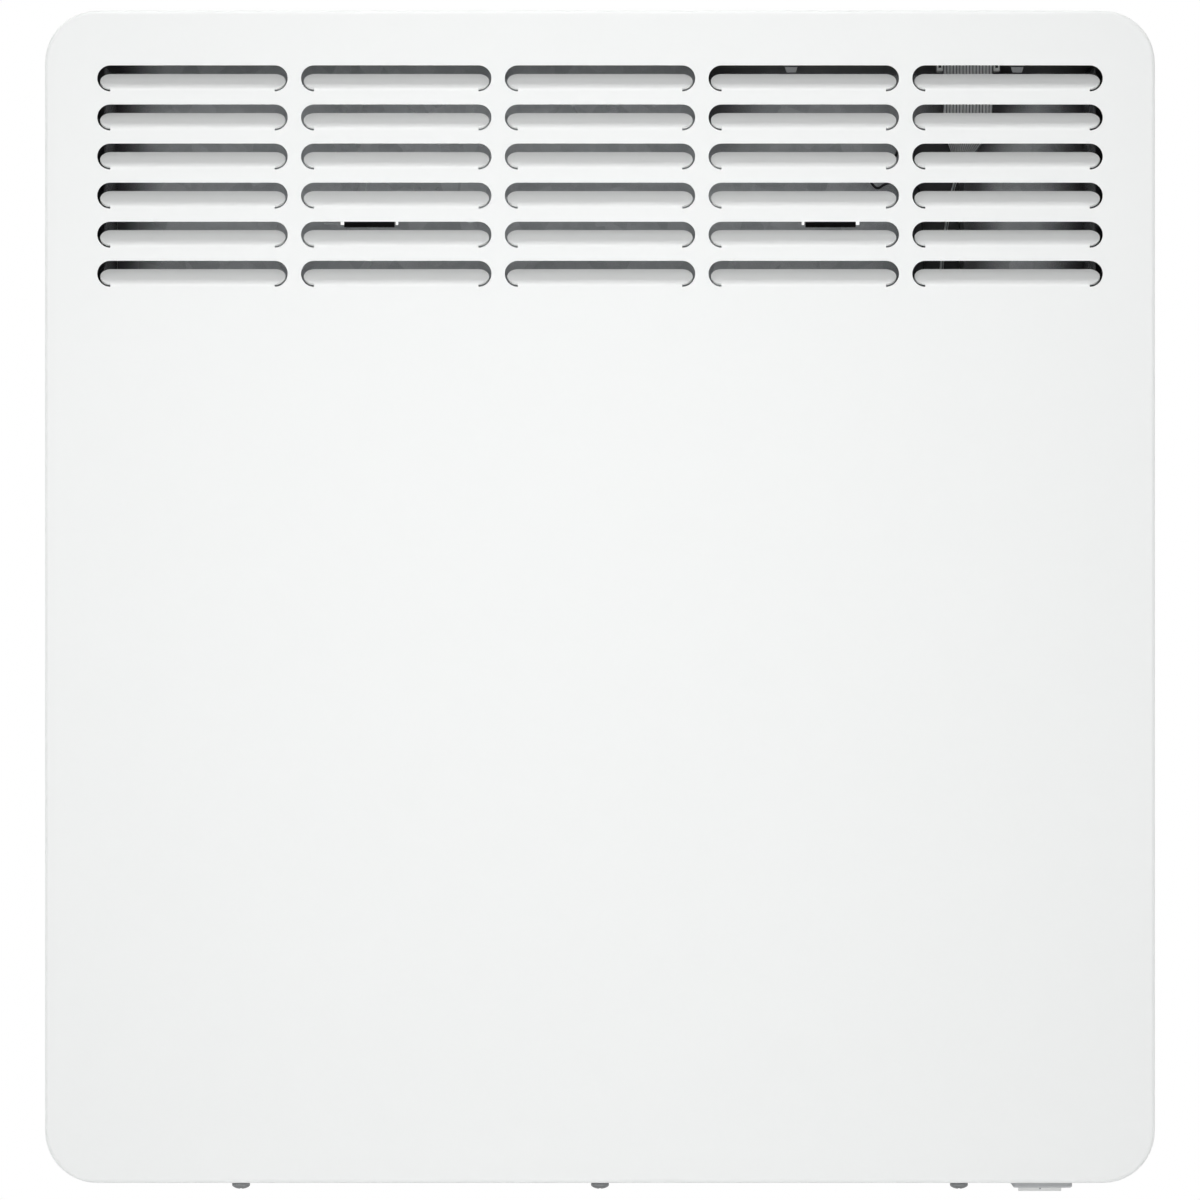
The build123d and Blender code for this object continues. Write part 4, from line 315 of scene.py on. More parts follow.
# ---- Finishes ----
class Finish:
    """A material under construction: its tree, its Principled shader and short ways to add nodes."""

    def __init__(self, name, colour, roughness, metallic=0.0):
        self.material = bpy.data.materials.new(name)
        self.material.use_nodes = True
        self.tree = self.material.node_tree
        self.shader = self.tree.nodes["Principled BSDF"]
        self.set("Base Color", (*colour, 1.0))
        self.set("Roughness", roughness)
        self.set("Metallic", metallic)

    def set(self, socket, value):
        self.shader.inputs[socket].default_value = value

    def link(self, output, socket):
        self.tree.links.new(output, self.shader.inputs[socket])

    def group(self, effect, **values):
        """The outputs of a placed effect, its inputs set by name with underscores for spaces."""
        inputs = {name.replace("_", " "): value for name, value in values.items()}
        return add_node(self.tree, "Group", inputs, node_tree=effect).outputs

    def blend(self, mask, first, second):
        """A colour that a mask turns from the first, a colour or a socket, into the second."""
        if isinstance(first, tuple):
            first = (*first, 1.0)
        inputs = {"Factor": mask, "A": first, "B": (*second, 1.0)}
        return add_node(self.tree, "Mix", inputs, data_type="RGBA").outputs["Result"]

    def colour(self, mask, first, second):
        """Base colour between two, by a mask."""
        self.link(self.blend(mask, first, second), "Base Color")

    def roughness(self, mask, smoothest, roughest):
        """Roughness between two ends, by a mask."""
        inputs = {"Value": mask, "To Min": smoothest, "To Max": roughest}
        self.link(add_node(self.tree, "MapRange", inputs).outputs["Result"], "Roughness")

    def uv_part(self, axis):
        """One coordinate of the piece's own UV map."""
        marks = add_node(self.tree, "UVMap", uv_map=UV_NAME).outputs["UV"]
        return add_node(self.tree, "SeparateXYZ", {"Vector": marks}).outputs[axis]

    def bump(self, height, depth, strength=1.0):
        inputs = {"Strength": strength, "Distance": depth, "Height": height}
        self.link(add_node(self.tree, "Bump", inputs).outputs["Normal"], "Normal")


def floor_material():
    """Pale matt floor; to the camera it fades to pure white away from the middle."""
    finish = Finish("pale_floor", FLOOR_COLOUR, 0.9)
    tree = finish.tree
    place = add_node(tree, "TexCoord").outputs["Object"]
    away = add_node(tree, "VectorMath", {0: place}, operation="LENGTH").outputs["Value"]
    fade = ramp(tree, away, *(share * FLOOR_HALF for share in FLOOR_FADE))
    factor = calculate(tree, "MULTIPLY", fade, add_node(tree, "LightPath").outputs["Is Camera Ray"])
    white = add_node(tree, "Emission").outputs[0]
    mix = add_node(tree, "MixShader", {"Fac": factor, 1: finish.shader.outputs[0], 2: white})
    tree.links.new(mix.outputs[0], tree.nodes["Material Output"].inputs["Surface"])
    return finish.material


def painted(name, bright, dull, roughness, depth):
    """Powder-coated sheet."""
    finish = Finish(name, bright, roughness)
    skin = finish.group(PAINT_SKIN)
    finish.colour(skin["Clouds"], dull, bright)
    finish.roughness(skin["Clouds"], roughness - 0.03, roughness + 0.03)
    finish.bump(skin["Height"], depth)
    finish.set("Specular IOR Level", 0.45)
    return finish.material


def zinc_sheet():
    """Hot-dip galvanised sheet with a small spangle, painted dark grey as shade where the inner shade's mask is.
    """
    finish = Finish("galvanised_sheet", (0.58, 0.60, 0.62), 0.4, 1.0)
    zinc = finish.group(ZINC_SPANGLE)
    grain = finish.group(ROLLED_GRAIN, Stretch=(700.0, 700.0, 25.0), Stain=18.0)
    crystals = finish.blend(zinc["Crystal tone"], (0.47, 0.49, 0.51), (0.66, 0.68, 0.70))
    # Painted shade: the zinc turns dark grey where the inner shade's mask is
    finish.colour(finish.group(PAINTED_INNER_SHADE)["Shade"], crystals, (0.09, 0.09, 0.095))
    finish.roughness(grain["Stains"], 0.2, 0.32)
    finish.bump(zinc["Height"], 0.00001, 0.3)
    return finish.material


def worked_metal(name, dark, bright, roughness, stretch):
    """Drawn, rolled or plated metal with a directional grain."""
    finish = Finish(name, bright, roughness, 1.0)
    grain = finish.group(ROLLED_GRAIN, Stretch=stretch)
    finish.colour(grain["Stains"], dark, bright)
    finish.roughness(grain["Streaks"], roughness - 0.08, roughness + 0.1)
    finish.bump(grain["Height"], 0.00001, 0.6)
    return finish.material


def moulded(name, colour, worn, roughness, pits=1500.0):
    """Injection-moulded plastic with a spark texture."""
    finish = Finish(name, colour, roughness)
    grain = finish.group(MOULDED_GRAIN, Pits=pits)
    finish.colour(grain["Clouds"], colour, worn)
    finish.roughness(grain["Clouds"], roughness - 0.05, roughness + 0.05)
    finish.bump(grain["Height"], 0.00003)
    return finish.material


def unglazed_ceramic():
    finish = Finish("unglazed_ceramic", (0.86, 0.83, 0.76), 0.75)
    grain = finish.group(MOULDED_GRAIN, Pits=900.0, Cloud=120.0)
    finish.colour(grain["Clouds"], (0.80, 0.76, 0.68), (0.90, 0.88, 0.82))
    finish.bump(grain["Height"], 0.00005)
    return finish.material


def solder_mask():
    """Green circuit board: weave showing faintly through the mask."""
    finish = Finish("solder_mask", (0.03, 0.22, 0.09), 0.35)
    grain = finish.group(ROLLED_GRAIN, Stretch=(1400.0, 1400.0, 1400.0), Stain=200.0)
    finish.colour(grain["Streaks"], (0.02, 0.17, 0.07), (0.05, 0.28, 0.12))
    finish.bump(grain["Height"], 0.00002, 0.4)
    return finish.material


def clear_window():
    """Polished clear plastic with a faint haze, let through in part so that what lies under it is lit."""
    finish = Finish("clear_window", (0.96, 0.98, 0.98), 0.04)
    finish.roughness(finish.group(PAINT_SKIN, Cloud=90.0)["Clouds"], 0.03, 0.07)
    finish.set("Transmission Weight", 1.0)
    finish.set("Alpha", 0.3)
    finish.set("IOR", 1.49)
    return finish.material


def striped_insulation():
    """Green insulation with a yellow stripe along two fifths of its round, and a faint moulded cloud."""
    finish = Finish("earth_insulation", (0.10, 0.32, 0.03), 0.4)
    grain = finish.group(MOULDED_GRAIN, Pits=2600.0)
    green = finish.blend(grain["Clouds"], (0.08, 0.30, 0.03), (0.12, 0.36, 0.05))
    stripe = ramp(finish.tree, finish.uv_part("X"), *STRIPE_EDGE)
    finish.colour(stripe, green, (0.75, 0.62, 0.04))
    finish.bump(grain["Height"], 0.00002)
    return finish.material


def ribbed_insulation():
    """Pale grey insulation of the flat cable, with painted shade in the valley between each two conductors."""
    finish = Finish("ribbon_insulation", (0.64, 0.65, 0.66), 0.45)
    grain = finish.group(MOULDED_GRAIN, Pits=2200.0)
    pale = finish.blend(grain["Clouds"], (0.62, 0.63, 0.64), (0.70, 0.71, 0.72))
    fold = calculate(finish.tree, "PINGPONG", finish.uv_part("X"), 0.5)
    # Painted shade: dark grey in each valley between conductors
    finish.colour(ramp(finish.tree, fold, *VALLEY_SHADE_EDGE), pale, (0.10, 0.105, 0.11))
    finish.bump(grain["Height"], 0.00002)
    return finish.material


def crystal_display():
    """Grey-green liquid crystal, slightly clouded."""
    finish = Finish("crystal_display", (0.42, 0.47, 0.38), 0.25)
    clouds = finish.group(PAINT_SKIN, Cloud=60.0)["Clouds"]
    finish.colour(clouds, (0.38, 0.43, 0.35), (0.46, 0.51, 0.42))
    return finish.material


UV_NAME = "around"
STRIPE_EDGE = (0.28, 0.34)  # cosine round the wire where green turns into yellow
VALLEY_SHADE_EDGE = (0.22, 0.05)  # conductor widths from the valley where the painted shade starts, and where it is full
# Scale of a metal's grain on each axis, lowest along the one it was drawn or rolled on
ALONG_X = (12.0, 900.0, 900.0)
ALONG_Y = (900.0, 14.0, 900.0)
ALONG_Z = (900.0, 900.0, 40.0)
FINISHES = {
    "white_paint": painted(
        "white_powder_coat", (0.885, 0.895, 0.888), (0.875, 0.885, 0.878), 0.42, 0.00001
    ),
    "galvanised": zinc_sheet(),
    "bracket_paint": painted("bracket_coat", (0.84, 0.84, 0.83), (0.80, 0.80, 0.79), 0.5, 0.00002),
    "plain_steel": worked_metal("zinc_plated_steel", (0.42, 0.43, 0.46), (0.58, 0.59, 0.62), 0.3, ALONG_Z),
    "sheath_steel": worked_metal("heated_sheath", (0.20, 0.15, 0.13), (0.38, 0.31, 0.27), 0.42, ALONG_X),
    "fin_aluminium": worked_metal("fin_strip", (0.62, 0.63, 0.64), (0.78, 0.79, 0.80), 0.32, ALONG_Y),
    "ceramic": unglazed_ceramic(),
    "black_plastic": moulded("black_moulding", (0.016, 0.016, 0.017), (0.024, 0.024, 0.025), 0.5),
    "dark_plastic": moulded("dark_moulding", (0.06, 0.06, 0.063), (0.085, 0.085, 0.09), 0.48),
    "white_plastic": moulded("white_moulding", (0.80, 0.81, 0.80), (0.84, 0.85, 0.84), 0.38),
    "grey_plastic": moulded("grey_moulding", (0.33, 0.34, 0.35), (0.37, 0.38, 0.39), 0.4),
    "clear_plastic": clear_window(),
    "display": crystal_display(),
    "board": solder_mask(),
    "ribbon_grey": ribbed_insulation(),
    "wire_plastic": moulded("wire_insulation", (0.03, 0.03, 0.032), (0.045, 0.045, 0.048), 0.4, 2600.0),
    "earth_plastic": striped_insulation(),
}
UNIT_FINISH = moulded("unit_moulding", (0.045, 0.045, 0.047), (0.06, 0.06, 0.063), 0.5)
# Nodes and pieces whose own finish differs from their slot's
OWN_FINISHES = {
    "unit_baffle": UNIT_FINISH,
    "unit_housing": UNIT_FINISH,
    "switch_body": moulded("switch_moulding", (0.52, 0.53, 0.54), (0.57, 0.58, 0.59), 0.42),
    "pan_head_screws": worked_metal(
        "screw_steel", (0.20, 0.205, 0.21), (0.32, 0.325, 0.33), 0.34, ALONG_Z
    ),
}


def dress_nodes():
    """Each carried-over node takes the finish of its slot in the record, or its own."""
    for row in frame["record"]["subparts"]:
        name, slot = row["node"], row["material_slot"]
        materials = NODES[name].data.materials
        materials.clear()
        materials.append(OWN_FINISHES.get(name, FINISHES[slot]))


# ---- Surfaces ----
CORNER_STEPS = 6  # points to a rounded corner
WELD_DISTANCE = 1e-7


def piece(name, points, faces, slot, body, smooth=True, marks=None):
    """A mesh object at the origin from arrays of points and faces, that rides on a body.

    It takes its slot's finish or its own. Marks are two numbers for each point, read by its material as a
    UV map.
    """
    mesh = bpy.data.meshes.new(name)
    mesh.from_pydata(points.tolist(), [], [np.asarray(face).tolist() for face in faces])
    mesh.polygons.foreach_set("use_smooth", np.full(len(mesh.polygons), smooth))
    if marks is not None:
        corners = np.empty(len(mesh.loops), dtype=np.int32)
        mesh.loops.foreach_get("vertex_index", corners)
        mesh.uv_layers.new(name=UV_NAME).data.foreach_set("uv", marks[corners].ravel())
    weld(mesh)
    made = bpy.data.objects.new(name, mesh)
    bpy.context.scene.collection.objects.link(made)
    mesh.materials.append(OWN_FINISHES.get(name, FINISHES[slot]))
    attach(made, body)
    return made


def weld(mesh):
    """Merge points that coincide, and drop the faces that this leaves empty."""
    work = bmesh.new()
    work.from_mesh(mesh)
    bmesh.ops.remove_doubles(work, verts=work.verts, dist=WELD_DISTANCE)
    work.to_mesh(mesh)
    work.free()


def joined(shapes):
    """One array of points and one list of faces from several (points, faces) shapes."""
    starts = np.cumsum([0] + [len(points) for points, _ in shapes])
    faces = [np.add(face, start) for start, (_, corners) in zip(starts, shapes) for face in corners]
    return np.concatenate([points for points, _ in shapes]), faces


def capped(points):
    """A closed skin over rings of points, a ring to a row: quads between rings, a face over each end."""
    rows, columns = points.shape[:2]
    row, column = (part.ravel() for part in np.indices((rows - 1, columns)))
    here, after = row * columns + column, row * columns + (column + 1) % columns
    quads = np.stack([here, after, after + columns, here + columns], axis=1)
    ends = [np.arange(columns)[::-1], np.arange((rows - 1) * columns, rows * columns)]
    return points.reshape(-1, 3), [*quads, *ends]


def stack(centre, levels, spin=0.0):
    """A closed shape of rounded rectangles one above the other.

    Each level is (height, half width, half depth, corner radius) about the centre. A ring's point is the
    corner's centre plus the radius times (cos a, sin a), with a running once round the four corners; the
    whole ring is turned by the spin.
    """
    z, half_x, half_y, radius = np.array(levels, float).T[:, :, None]
    radius = np.minimum(radius, np.minimum(half_x, half_y))
    quarter = np.linspace(0, QUARTER_TURN, CORNER_STEPS)
    angle = (quarter + np.arange(4)[:, None] * QUARTER_TURN).ravel()
    side_x = np.repeat([1, -1, -1, 1], CORNER_STEPS)
    side_y = np.repeat([1, 1, -1, -1], CORNER_STEPS)
    x = side_x * (half_x - radius) + radius * np.cos(angle)
    y = side_y * (half_y - radius) + radius * np.sin(angle)
    cos, sin = math.cos(spin), math.sin(spin)
    turned = np.stack([x * cos - y * sin, x * sin + y * cos, np.broadcast_to(z, x.shape)], axis=2)
    return capped(turned + np.asarray(centre))


def swept(path, radius, sides):
    """Rings of a round tube: at each path point, a circle of the radius square to the path.

    The circle's first direction is one fixed direction with its part along the tangent taken out. Of the
    13 directions to a cube's faces, edges and corners, it is the one whose least angle to the path is
    largest.
    """
    along = unit(np.gradient(path, axis=0))
    choices = unit(np.stack(np.meshgrid(*[[-1.0, 0.0, 1.0]] * 3), axis=-1).reshape(-1, 3)[:13])
    clear = np.linalg.norm(np.cross(along[:, None], choices[None]), axis=2).min(axis=0)
    fixed = choices[clear.argmax()]
    first = unit(fixed - along * (along @ fixed)[:, None])
    second = np.cross(along, first)
    turn = np.linspace(0, FULL_TURN, sides, endpoint=False)[None, :, None]
    return path[:, None] + radius * (first[:, None] * np.cos(turn) + second[:, None] * np.sin(turn))


# ---- Ribbon cable ----
CONDUCTORS = 15
RIBBON_SIDE_STEPS = 6  # points across one conductor
RIBBON_WEB = 0.12  # thickness between conductors, as a share of the conductor's
RIBBON_T = 0.0009
RIBBON_TWIST = (0.0198, 0.0408)  # start and end of the quarter turn, under the connector
RIBBON_ROWS = 300
RIBBON_SOFTENING = 15  # rows over which the middle line is averaged
# Under the connector, and the share of the way to the edge-on run's place
RIBBON_BOW = (
    (0.0, 0.0), (0.0198, 0.0), (0.0312, 0.13), (0.0345, 0.18), (0.0463, 0.45), (0.0497, 0.57),
    (0.0615, 0.74), (0.0648, 0.79), (0.0766, 0.91), (0.08, 0.94), (0.094, 1.0),
)
RIBBON_JOG = (0.048, 0.014)  # over the power board's housing


def ribbon_line(lowest, highest):
    """Points down the ribbon's middle, evenly spaced in height.

    Their x runs through the bow's stations, then straight down, then through the jog to the power board.
    It is averaged over the neighbouring rows with the weights of a raised cosine.
    """
    top, bottom = highest[2], lowest[2]
    x_top = middle("unit_connector")[0]
    x_low, x_plug = lowest[0] + RIBBON_T / 2, highest[0] - RIBBON_T / 2
    drop, share = np.array(RIBBON_BOW).T
    jog = high("housing_lid")[2] + np.array(RIBBON_JOG)
    stations_z = np.array([*(top - drop), *jog, bottom])
    stations_x = [*(x_top + share * (x_low - x_top)), x_low, x_plug, x_plug]
    z = np.linspace(top, bottom, RIBBON_ROWS)
    x = np.interp(-z, -stations_z, stations_x)
    weights = np.hanning(RIBBON_SOFTENING)
    padded = np.pad(x, RIBBON_SOFTENING // 2, mode="edge")
    x = np.convolve(padded, weights / weights.sum(), "valid")
    y = (lowest[1] + highest[1]) / 2
    return np.stack([x, np.full_like(z, y), z], axis=1)


def ribbon_profile(width):
    """Conductor coordinate u of each point round the ribbon's section, and its place across and through.

    The half thickness at u is T/2 * (web + (1 - web) * sqrt(1 - (2 * (u mod 1) - 1)^2)).
    """
    u = np.linspace(0, CONDUCTORS, CONDUCTORS * RIBBON_SIDE_STEPS + 1)
    inside = 2 * (u % 1) - 1
    half = RIBBON_T / 2 * (RIBBON_WEB + (1 - RIBBON_WEB) * np.sqrt(np.clip(1 - inside**2, 0, 1)))
    half[[0, -1]] = RIBBON_T / 2 * RIBBON_WEB
    across = (u / CONDUCTORS - 0.5) * width
    both = [np.concatenate([part, part[::-1]]) for part in (u, across)]
    return both[0], np.stack([both[1], np.concatenate([-half, half[::-1]])], axis=1)


def ribbon():
    """Flat cable of round conductors side by side, with a quarter twist and a bow to the left.

    The section is carried down the middle line. Its width points along X, turned towards -Y by an angle
    that grows evenly from 0 to a quarter turn over the twist. A UV map holds u and the height.
    """
    lowest, highest = low("ribbon_cable"), high("ribbon_cable")
    centre = ribbon_line(lowest, highest)
    z = centre[:, 2]
    start, end = RIBBON_TWIST
    angle = np.clip((z[0] - z - start) / (end - start), 0, 1) * QUARTER_TURN
    along = unit(np.gradient(centre, axis=0))
    across = np.stack([np.cos(angle), -np.sin(angle), np.zeros_like(angle)], axis=1)
    normal = unit(np.cross(along, across))
    across = np.cross(normal, along)
    u, section = ribbon_profile(highest[1] - lowest[1])
    points = centre[:, None] + section[:, :1] * across[:, None] + section[:, 1:] * normal[:, None]
    marks = np.stack(np.meshgrid(u, z), axis=2).reshape(-1, 2)
    made = piece("ribbon_wires", *capped(points), "ribbon_grey", "heater", marks=marks)
    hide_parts("ribbon_cable")


# ---- Leads ----
WIRE_SIDES = 16
LEAD_STEPS = 24  # points read from the spline for each of its control points
LEAST_STEP = 1e-7
# Node: its finish, the leads' radius and each lead's control points
LEADS = {
    "mains_wires": ("wire_plastic", 0.0012, (
        ((0.1125, -0.0317, -0.188), (0.1125, -0.0317, -0.18), (0.1205, -0.0417, -0.178),
         (0.144, -0.07655, -0.179), (0.1658, -0.099, -0.177), (0.1658, -0.099, -0.191)),
        ((0.1215, -0.0317, -0.188), (0.1215, -0.0317, -0.18), (0.1295, -0.0417, -0.173),
         (0.144, -0.07155, -0.174), (0.1754, -0.099, -0.177), (0.1754, -0.099, -0.191)),
    )),
    "earth_wire": ("earth_plastic", 0.0012, (
        ((0.1305, -0.0317, -0.2), (0.1305, -0.0317, -0.207), (0.1445, -0.0317, -0.211),
         (0.155, -0.0257, -0.212), (0.168, -0.0257, -0.212)),
    )),
    "element_wires": ("wire_plastic", 0.0012, (
        ((0.116, -0.06555, -0.152), (0.125, -0.06555, -0.152), (0.1374, -0.07355, -0.144),
         (0.1464, -0.07355, -0.144)),
        ((0.116, -0.06555, -0.128), (0.125, -0.06555, -0.128), (0.1374, -0.07355, -0.12),
         (0.1464, -0.07355, -0.12)),
        ((0.063, -0.0493, -0.092), (0.075, -0.0493, -0.092), (0.1164, -0.0454, -0.103),
         (0.1364, -0.0524, -0.103), (0.1464, -0.0524, -0.103)),
        ((0.063, -0.0421, -0.092), (0.075, -0.0421, -0.092), (0.1164, -0.0454, -0.097),
         (0.1364, -0.0524, -0.097), (0.1464, -0.0524, -0.097)),
    )),
    "sensor_lead": ("wire_plastic", 0.0005, (
        ((0.126, -0.098, -0.208), (0.126, -0.098, -0.192), (0.1514, -0.092, -0.182),
         (0.1514, -0.092, -0.168)),
    )),
    "unit_lead": ("wire_plastic", 0.0005, (
        ((0.11915, -0.086, 0.206), (0.11915, -0.086, 0.1665), (0.1, -0.046, 0.169),
         (0.1049, -0.041, 0.1656), (0.1085, -0.04, 0.1596), (0.1122, -0.04, 0.1626),
         (0.117, -0.041, 0.1628), (0.1225, -0.042, 0.1632), (0.128, -0.0307, 0.1579),
         (0.128, -0.0307, -0.048), (0.136, -0.0367, -0.062), (0.1524, -0.0514, -0.058),
         (0.1524, -0.0514, -0.066)),
    )),
}


def spline_points(route):
    """Points along the smooth line that a NURBS spline makes of a route's control points."""
    curve = bpy.data.curves.new("route", "CURVE")
    curve.dimensions = "3D"
    curve.resolution_u = LEAD_STEPS
    spline = curve.splines.new("NURBS")
    spline.points.add(len(route) - 1)
    spline.points.foreach_set("co", np.column_stack([route, np.ones(len(route))]).ravel())
    spline.order_u = 3
    spline.use_endpoint_u = True
    holder = bpy.data.objects.new("route", curve)
    mesh = bpy.data.meshes.new_from_object(holder)
    flat = np.empty(len(mesh.vertices) * 3)
    mesh.vertices.foreach_get("co", flat)
    bpy.data.objects.remove(holder)
    bpy.data.meshes.remove(mesh)
    bpy.data.curves.remove(curve)
    points = flat.reshape(-1, 3)
    moves = np.linalg.norm(np.diff(points, axis=0), axis=1) > LEAST_STEP
    return points[np.concatenate([[True], moves])]


def lead(node):
    """The leads of a node as round wires; a UV map holds the cosine round each and the length along it."""
    slot, radius, routes = LEADS[node]
    around = np.cos(np.linspace(0, FULL_TURN, WIRE_SIDES, endpoint=False))
    shapes, marks = [], []
    for route in routes:
        path = spline_points(np.array(route))
        steps = np.linalg.norm(np.diff(path, axis=0), axis=1)
        length = np.concatenate([[0], np.cumsum(steps)])
        marks.append(np.stack(np.meshgrid(around, length), axis=2).reshape(-1, 2))
        shapes.append(capped(swept(path, radius, WIRE_SIDES)))
    made = piece(f"{node}_smooth", *joined(shapes), slot, "heater", marks=np.concatenate(marks))
    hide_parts(node)


# ---- Connector ears and snap lugs ----
SKIN = 0.00004  # a finish piece stands this much outside what carries it
LUG_INSET = 0.00835  # unit's side to a lug's middle
LUG_T = 0.0015
LUG_WIDTHS = (0.0035, 0.0049)  # at the tip, and where the dark root begins
LUG_TIP = 0.0021  # height of the pale tip
LUG_ROUND = 0.00015
LUG_CORNER = 0.0002
EAR_WIDTH = 0.0028
EAR_DEPTH = 0.005
EAR_HEIGHT = 0.0033
EAR_FIT = 0.00005  # kept clear of the ribbon
EAR_ROUND = 0.0003
EAR_FOOT_CORNER = 0.0002
EAR_SLOT = (0.0020, 0.0011)  # height over the ear's foot, and size, of the black block painted as each slot's shade
EAR_SLOT_CORNER = 0.0001


def snap_lugs():
    """Pale tips of the unit's two snap lugs: rings that widen upwards, with a small round at the foot."""
    lowest, highest = low("unit_housing"), high("unit_housing")
    narrow, wide = np.array(LUG_WIDTHS) / 2 + SKIN
    depth = LUG_T / 2 + SKIN
    levels = [
        (-SKIN, narrow - LUG_ROUND, depth - LUG_ROUND, LUG_CORNER),
        (LUG_ROUND, narrow + LUG_ROUND / 3, depth, LUG_CORNER),
        (LUG_TIP, wide, depth, LUG_CORNER),
    ]
    xs = (lowest[0] + LUG_INSET, highest[0] - LUG_INSET)
    shapes = [stack((x, lowest[1] + LUG_T / 2, lowest[2]), levels) for x in xs]
    piece("snap_lug_tips", *joined(shapes), "grey_plastic", "heater", smooth=False)


def connector_ears():
    """Latch ears beside the ribbon, each a rounded block with a small black block near its top as the painted
    shade of its slot.
    """
    lowest, highest = low("unit_connector"), high("unit_connector")
    y = middle("unit_connector")[1]
    half, deep = EAR_WIDTH / 2 - EAR_FIT, EAR_DEPTH / 2 + SKIN
    middle_z, size = EAR_SLOT
    ear = [
        (-SKIN, half - EAR_ROUND, deep - EAR_ROUND, EAR_FOOT_CORNER),
        (EAR_ROUND, half, deep, EAR_ROUND),
        (EAR_HEIGHT, half, deep, EAR_ROUND),
    ]
    slot = [(middle_z + side * size / 2, size / 2, deep + SKIN, EAR_SLOT_CORNER) for side in (-1, 1)]
    places = [(x, y, lowest[2]) for x in (lowest[0] + EAR_WIDTH / 2, highest[0] - EAR_WIDTH / 2)]
    ears, slot_shades = ([stack(place, levels) for place in places] for levels in (ear, slot))
    piece("connector_ears", *joined(ears), "white_plastic", "heater", smooth=False)
    # Painted shade: black blocks stand in for the dark insides of the ears' slots
    piece("ear_slot_shades", *joined(slot_shades), "black_plastic", "heater", smooth=False)


# ---- Casing screws ----
HEAD_R = 0.00345
HEAD_RIM = 0.48  # height of the straight rim, as a share of the head's
HEAD_RINGS = 30
HEAD_RING_POWER = 0.7  # under 1, it puts the rings closer together towards the rim
HEAD_DOME_POWER = 0.7
HEAD_SIDES = 64
HEAD_PIP_R = 0.00001  # innermost ring
RECESS_ARM = 0.00042  # half width of an arm of the cross
RECESS_ARM_FADE = 0.5  # share of the arm over which its side rises
RECESS_R = 0.0019
RECESS_END_FADE = 0.6  # share of the recess's radius over which its end rises
RECESS_DEPTH = 0.0014
SHANK_SHARE = 0.5  # of the head's radius
SHANK_LENGTH = 0.006
SCREW_XS = (-0.138, 0.0, 0.138)
SCREW_YS = (-0.116, -0.031)


def pan_heads():
    """Pan-head screws with a cross recess, heads down.

    At a share s of the radius the head's underside hangs by h * (rim + (1 - rim) * (1 - s^2)^0.7), and at
    the radius its rim goes straight up to the plate. Within the cross, where the smaller of |x| and |y| is
    under the arm's half width, it rises by the recess's depth, which fades out at the arms' sides and
    towards their ends.
    """
    base, lowest = low("base_plate")[2], low("case_screws")[2]
    s = np.linspace(0, 1, HEAD_RINGS)[:, None] ** HEAD_RING_POWER
    turn = np.linspace(0, FULL_TURN, HEAD_SIDES, endpoint=False)
    x, y = HEAD_R * s * np.cos(turn), HEAD_R * s * np.sin(turn)
    dome = np.clip(1 - s**2, 0, 1) ** HEAD_DOME_POWER
    hang = (base - lowest) * (HEAD_RIM + (1 - HEAD_RIM) * dome)
    arm = np.clip((RECESS_ARM - np.minimum(abs(x), abs(y))) / (RECESS_ARM_FADE * RECESS_ARM), 0, 1)
    reach = np.clip((RECESS_R - np.hypot(x, y)) / (RECESS_END_FADE * RECESS_R), 0, 1)
    rings = np.stack([x, y, base - hang + RECESS_DEPTH * arm * reach], axis=2)
    circle = np.stack([np.cos(turn), np.sin(turn), 0 * turn], axis=1)
    rings[0] = rings[0].mean(axis=0) + HEAD_PIP_R * circle
    sides = [(1.0, base), (SHANK_SHARE, base), (SHANK_SHARE, base + SHANK_LENGTH)]
    sides = [share * HEAD_R * circle + (0.0, 0.0, z) for share, z in sides]
    rings = np.concatenate([rings, sides])
    shapes = [capped(rings + (x, y, 0.0)) for y in SCREW_YS for x in SCREW_XS]
    made = piece("pan_head_screws", *joined(shapes), "plain_steel", "heater")
    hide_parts("case_screws")


# ---- Flat strokes, for the display, the keys and the rocker ----
RING_BARS = 24


def bar(start, end, width, z, rise, gap=0.0):
    """A flat rounded bar between two points of a level, shortened by the gap at both ends."""
    start, end = np.array(start, float), np.array(end, float)
    run = end - start
    half = max(np.linalg.norm(run) / 2 - gap, width / 2)
    levels = [(level, half, width / 2, width / 2) for level in (0, rise)]
    return stack((*((start + end) / 2), z), levels, math.atan2(run[1], run[0]))


def ring(centre, radius, width, z, rise, share=1.0):
    """A flat ring, or a share of one that is open at the top, as short bars end to end."""
    turn = QUARTER_TURN + math.pi * (1 - share) + np.linspace(0, FULL_TURN * share, RING_BARS + 1)
    ends = np.stack([centre[0] + radius * np.cos(turn), centre[1] + radius * np.sin(turn)], axis=1)
    return [bar(start, end, width, z, rise) for start, end in zip(ends[:-1], ends[1:])]


# ---- Display ----
DIGIT = (0.0050, 0.0100)  # width and height
DIGIT_STROKE = 0.0011
DIGIT_STEP = 0.0077
DIGIT_LEAN = 0.10
SEGMENT_GAP = 0.0003
DISPLAY_INK = 0.00006
DISPLAY_INSET = 0.0085  # window's side to the first digit
DISPLAY_DROP = 0.004  # window's middle to the digits' foot
# Segments of a digit: two ends, in shares of its width and height
SEGMENTS = {
    "a": ((0, 1), (1, 1)), "b": ((1, 1), (1, 0.5)), "c": ((1, 0.5), (1, 0)), "d": ((0, 0), (1, 0)),
    "e": ((0, 0.5), (0, 0)), "f": ((0, 1), (0, 0.5)), "g": ((0, 0.5), (1, 0.5)),
}
DIGITS = {"2": "abged", "1": "bc", "5": "afgcd", "C": "afed"}
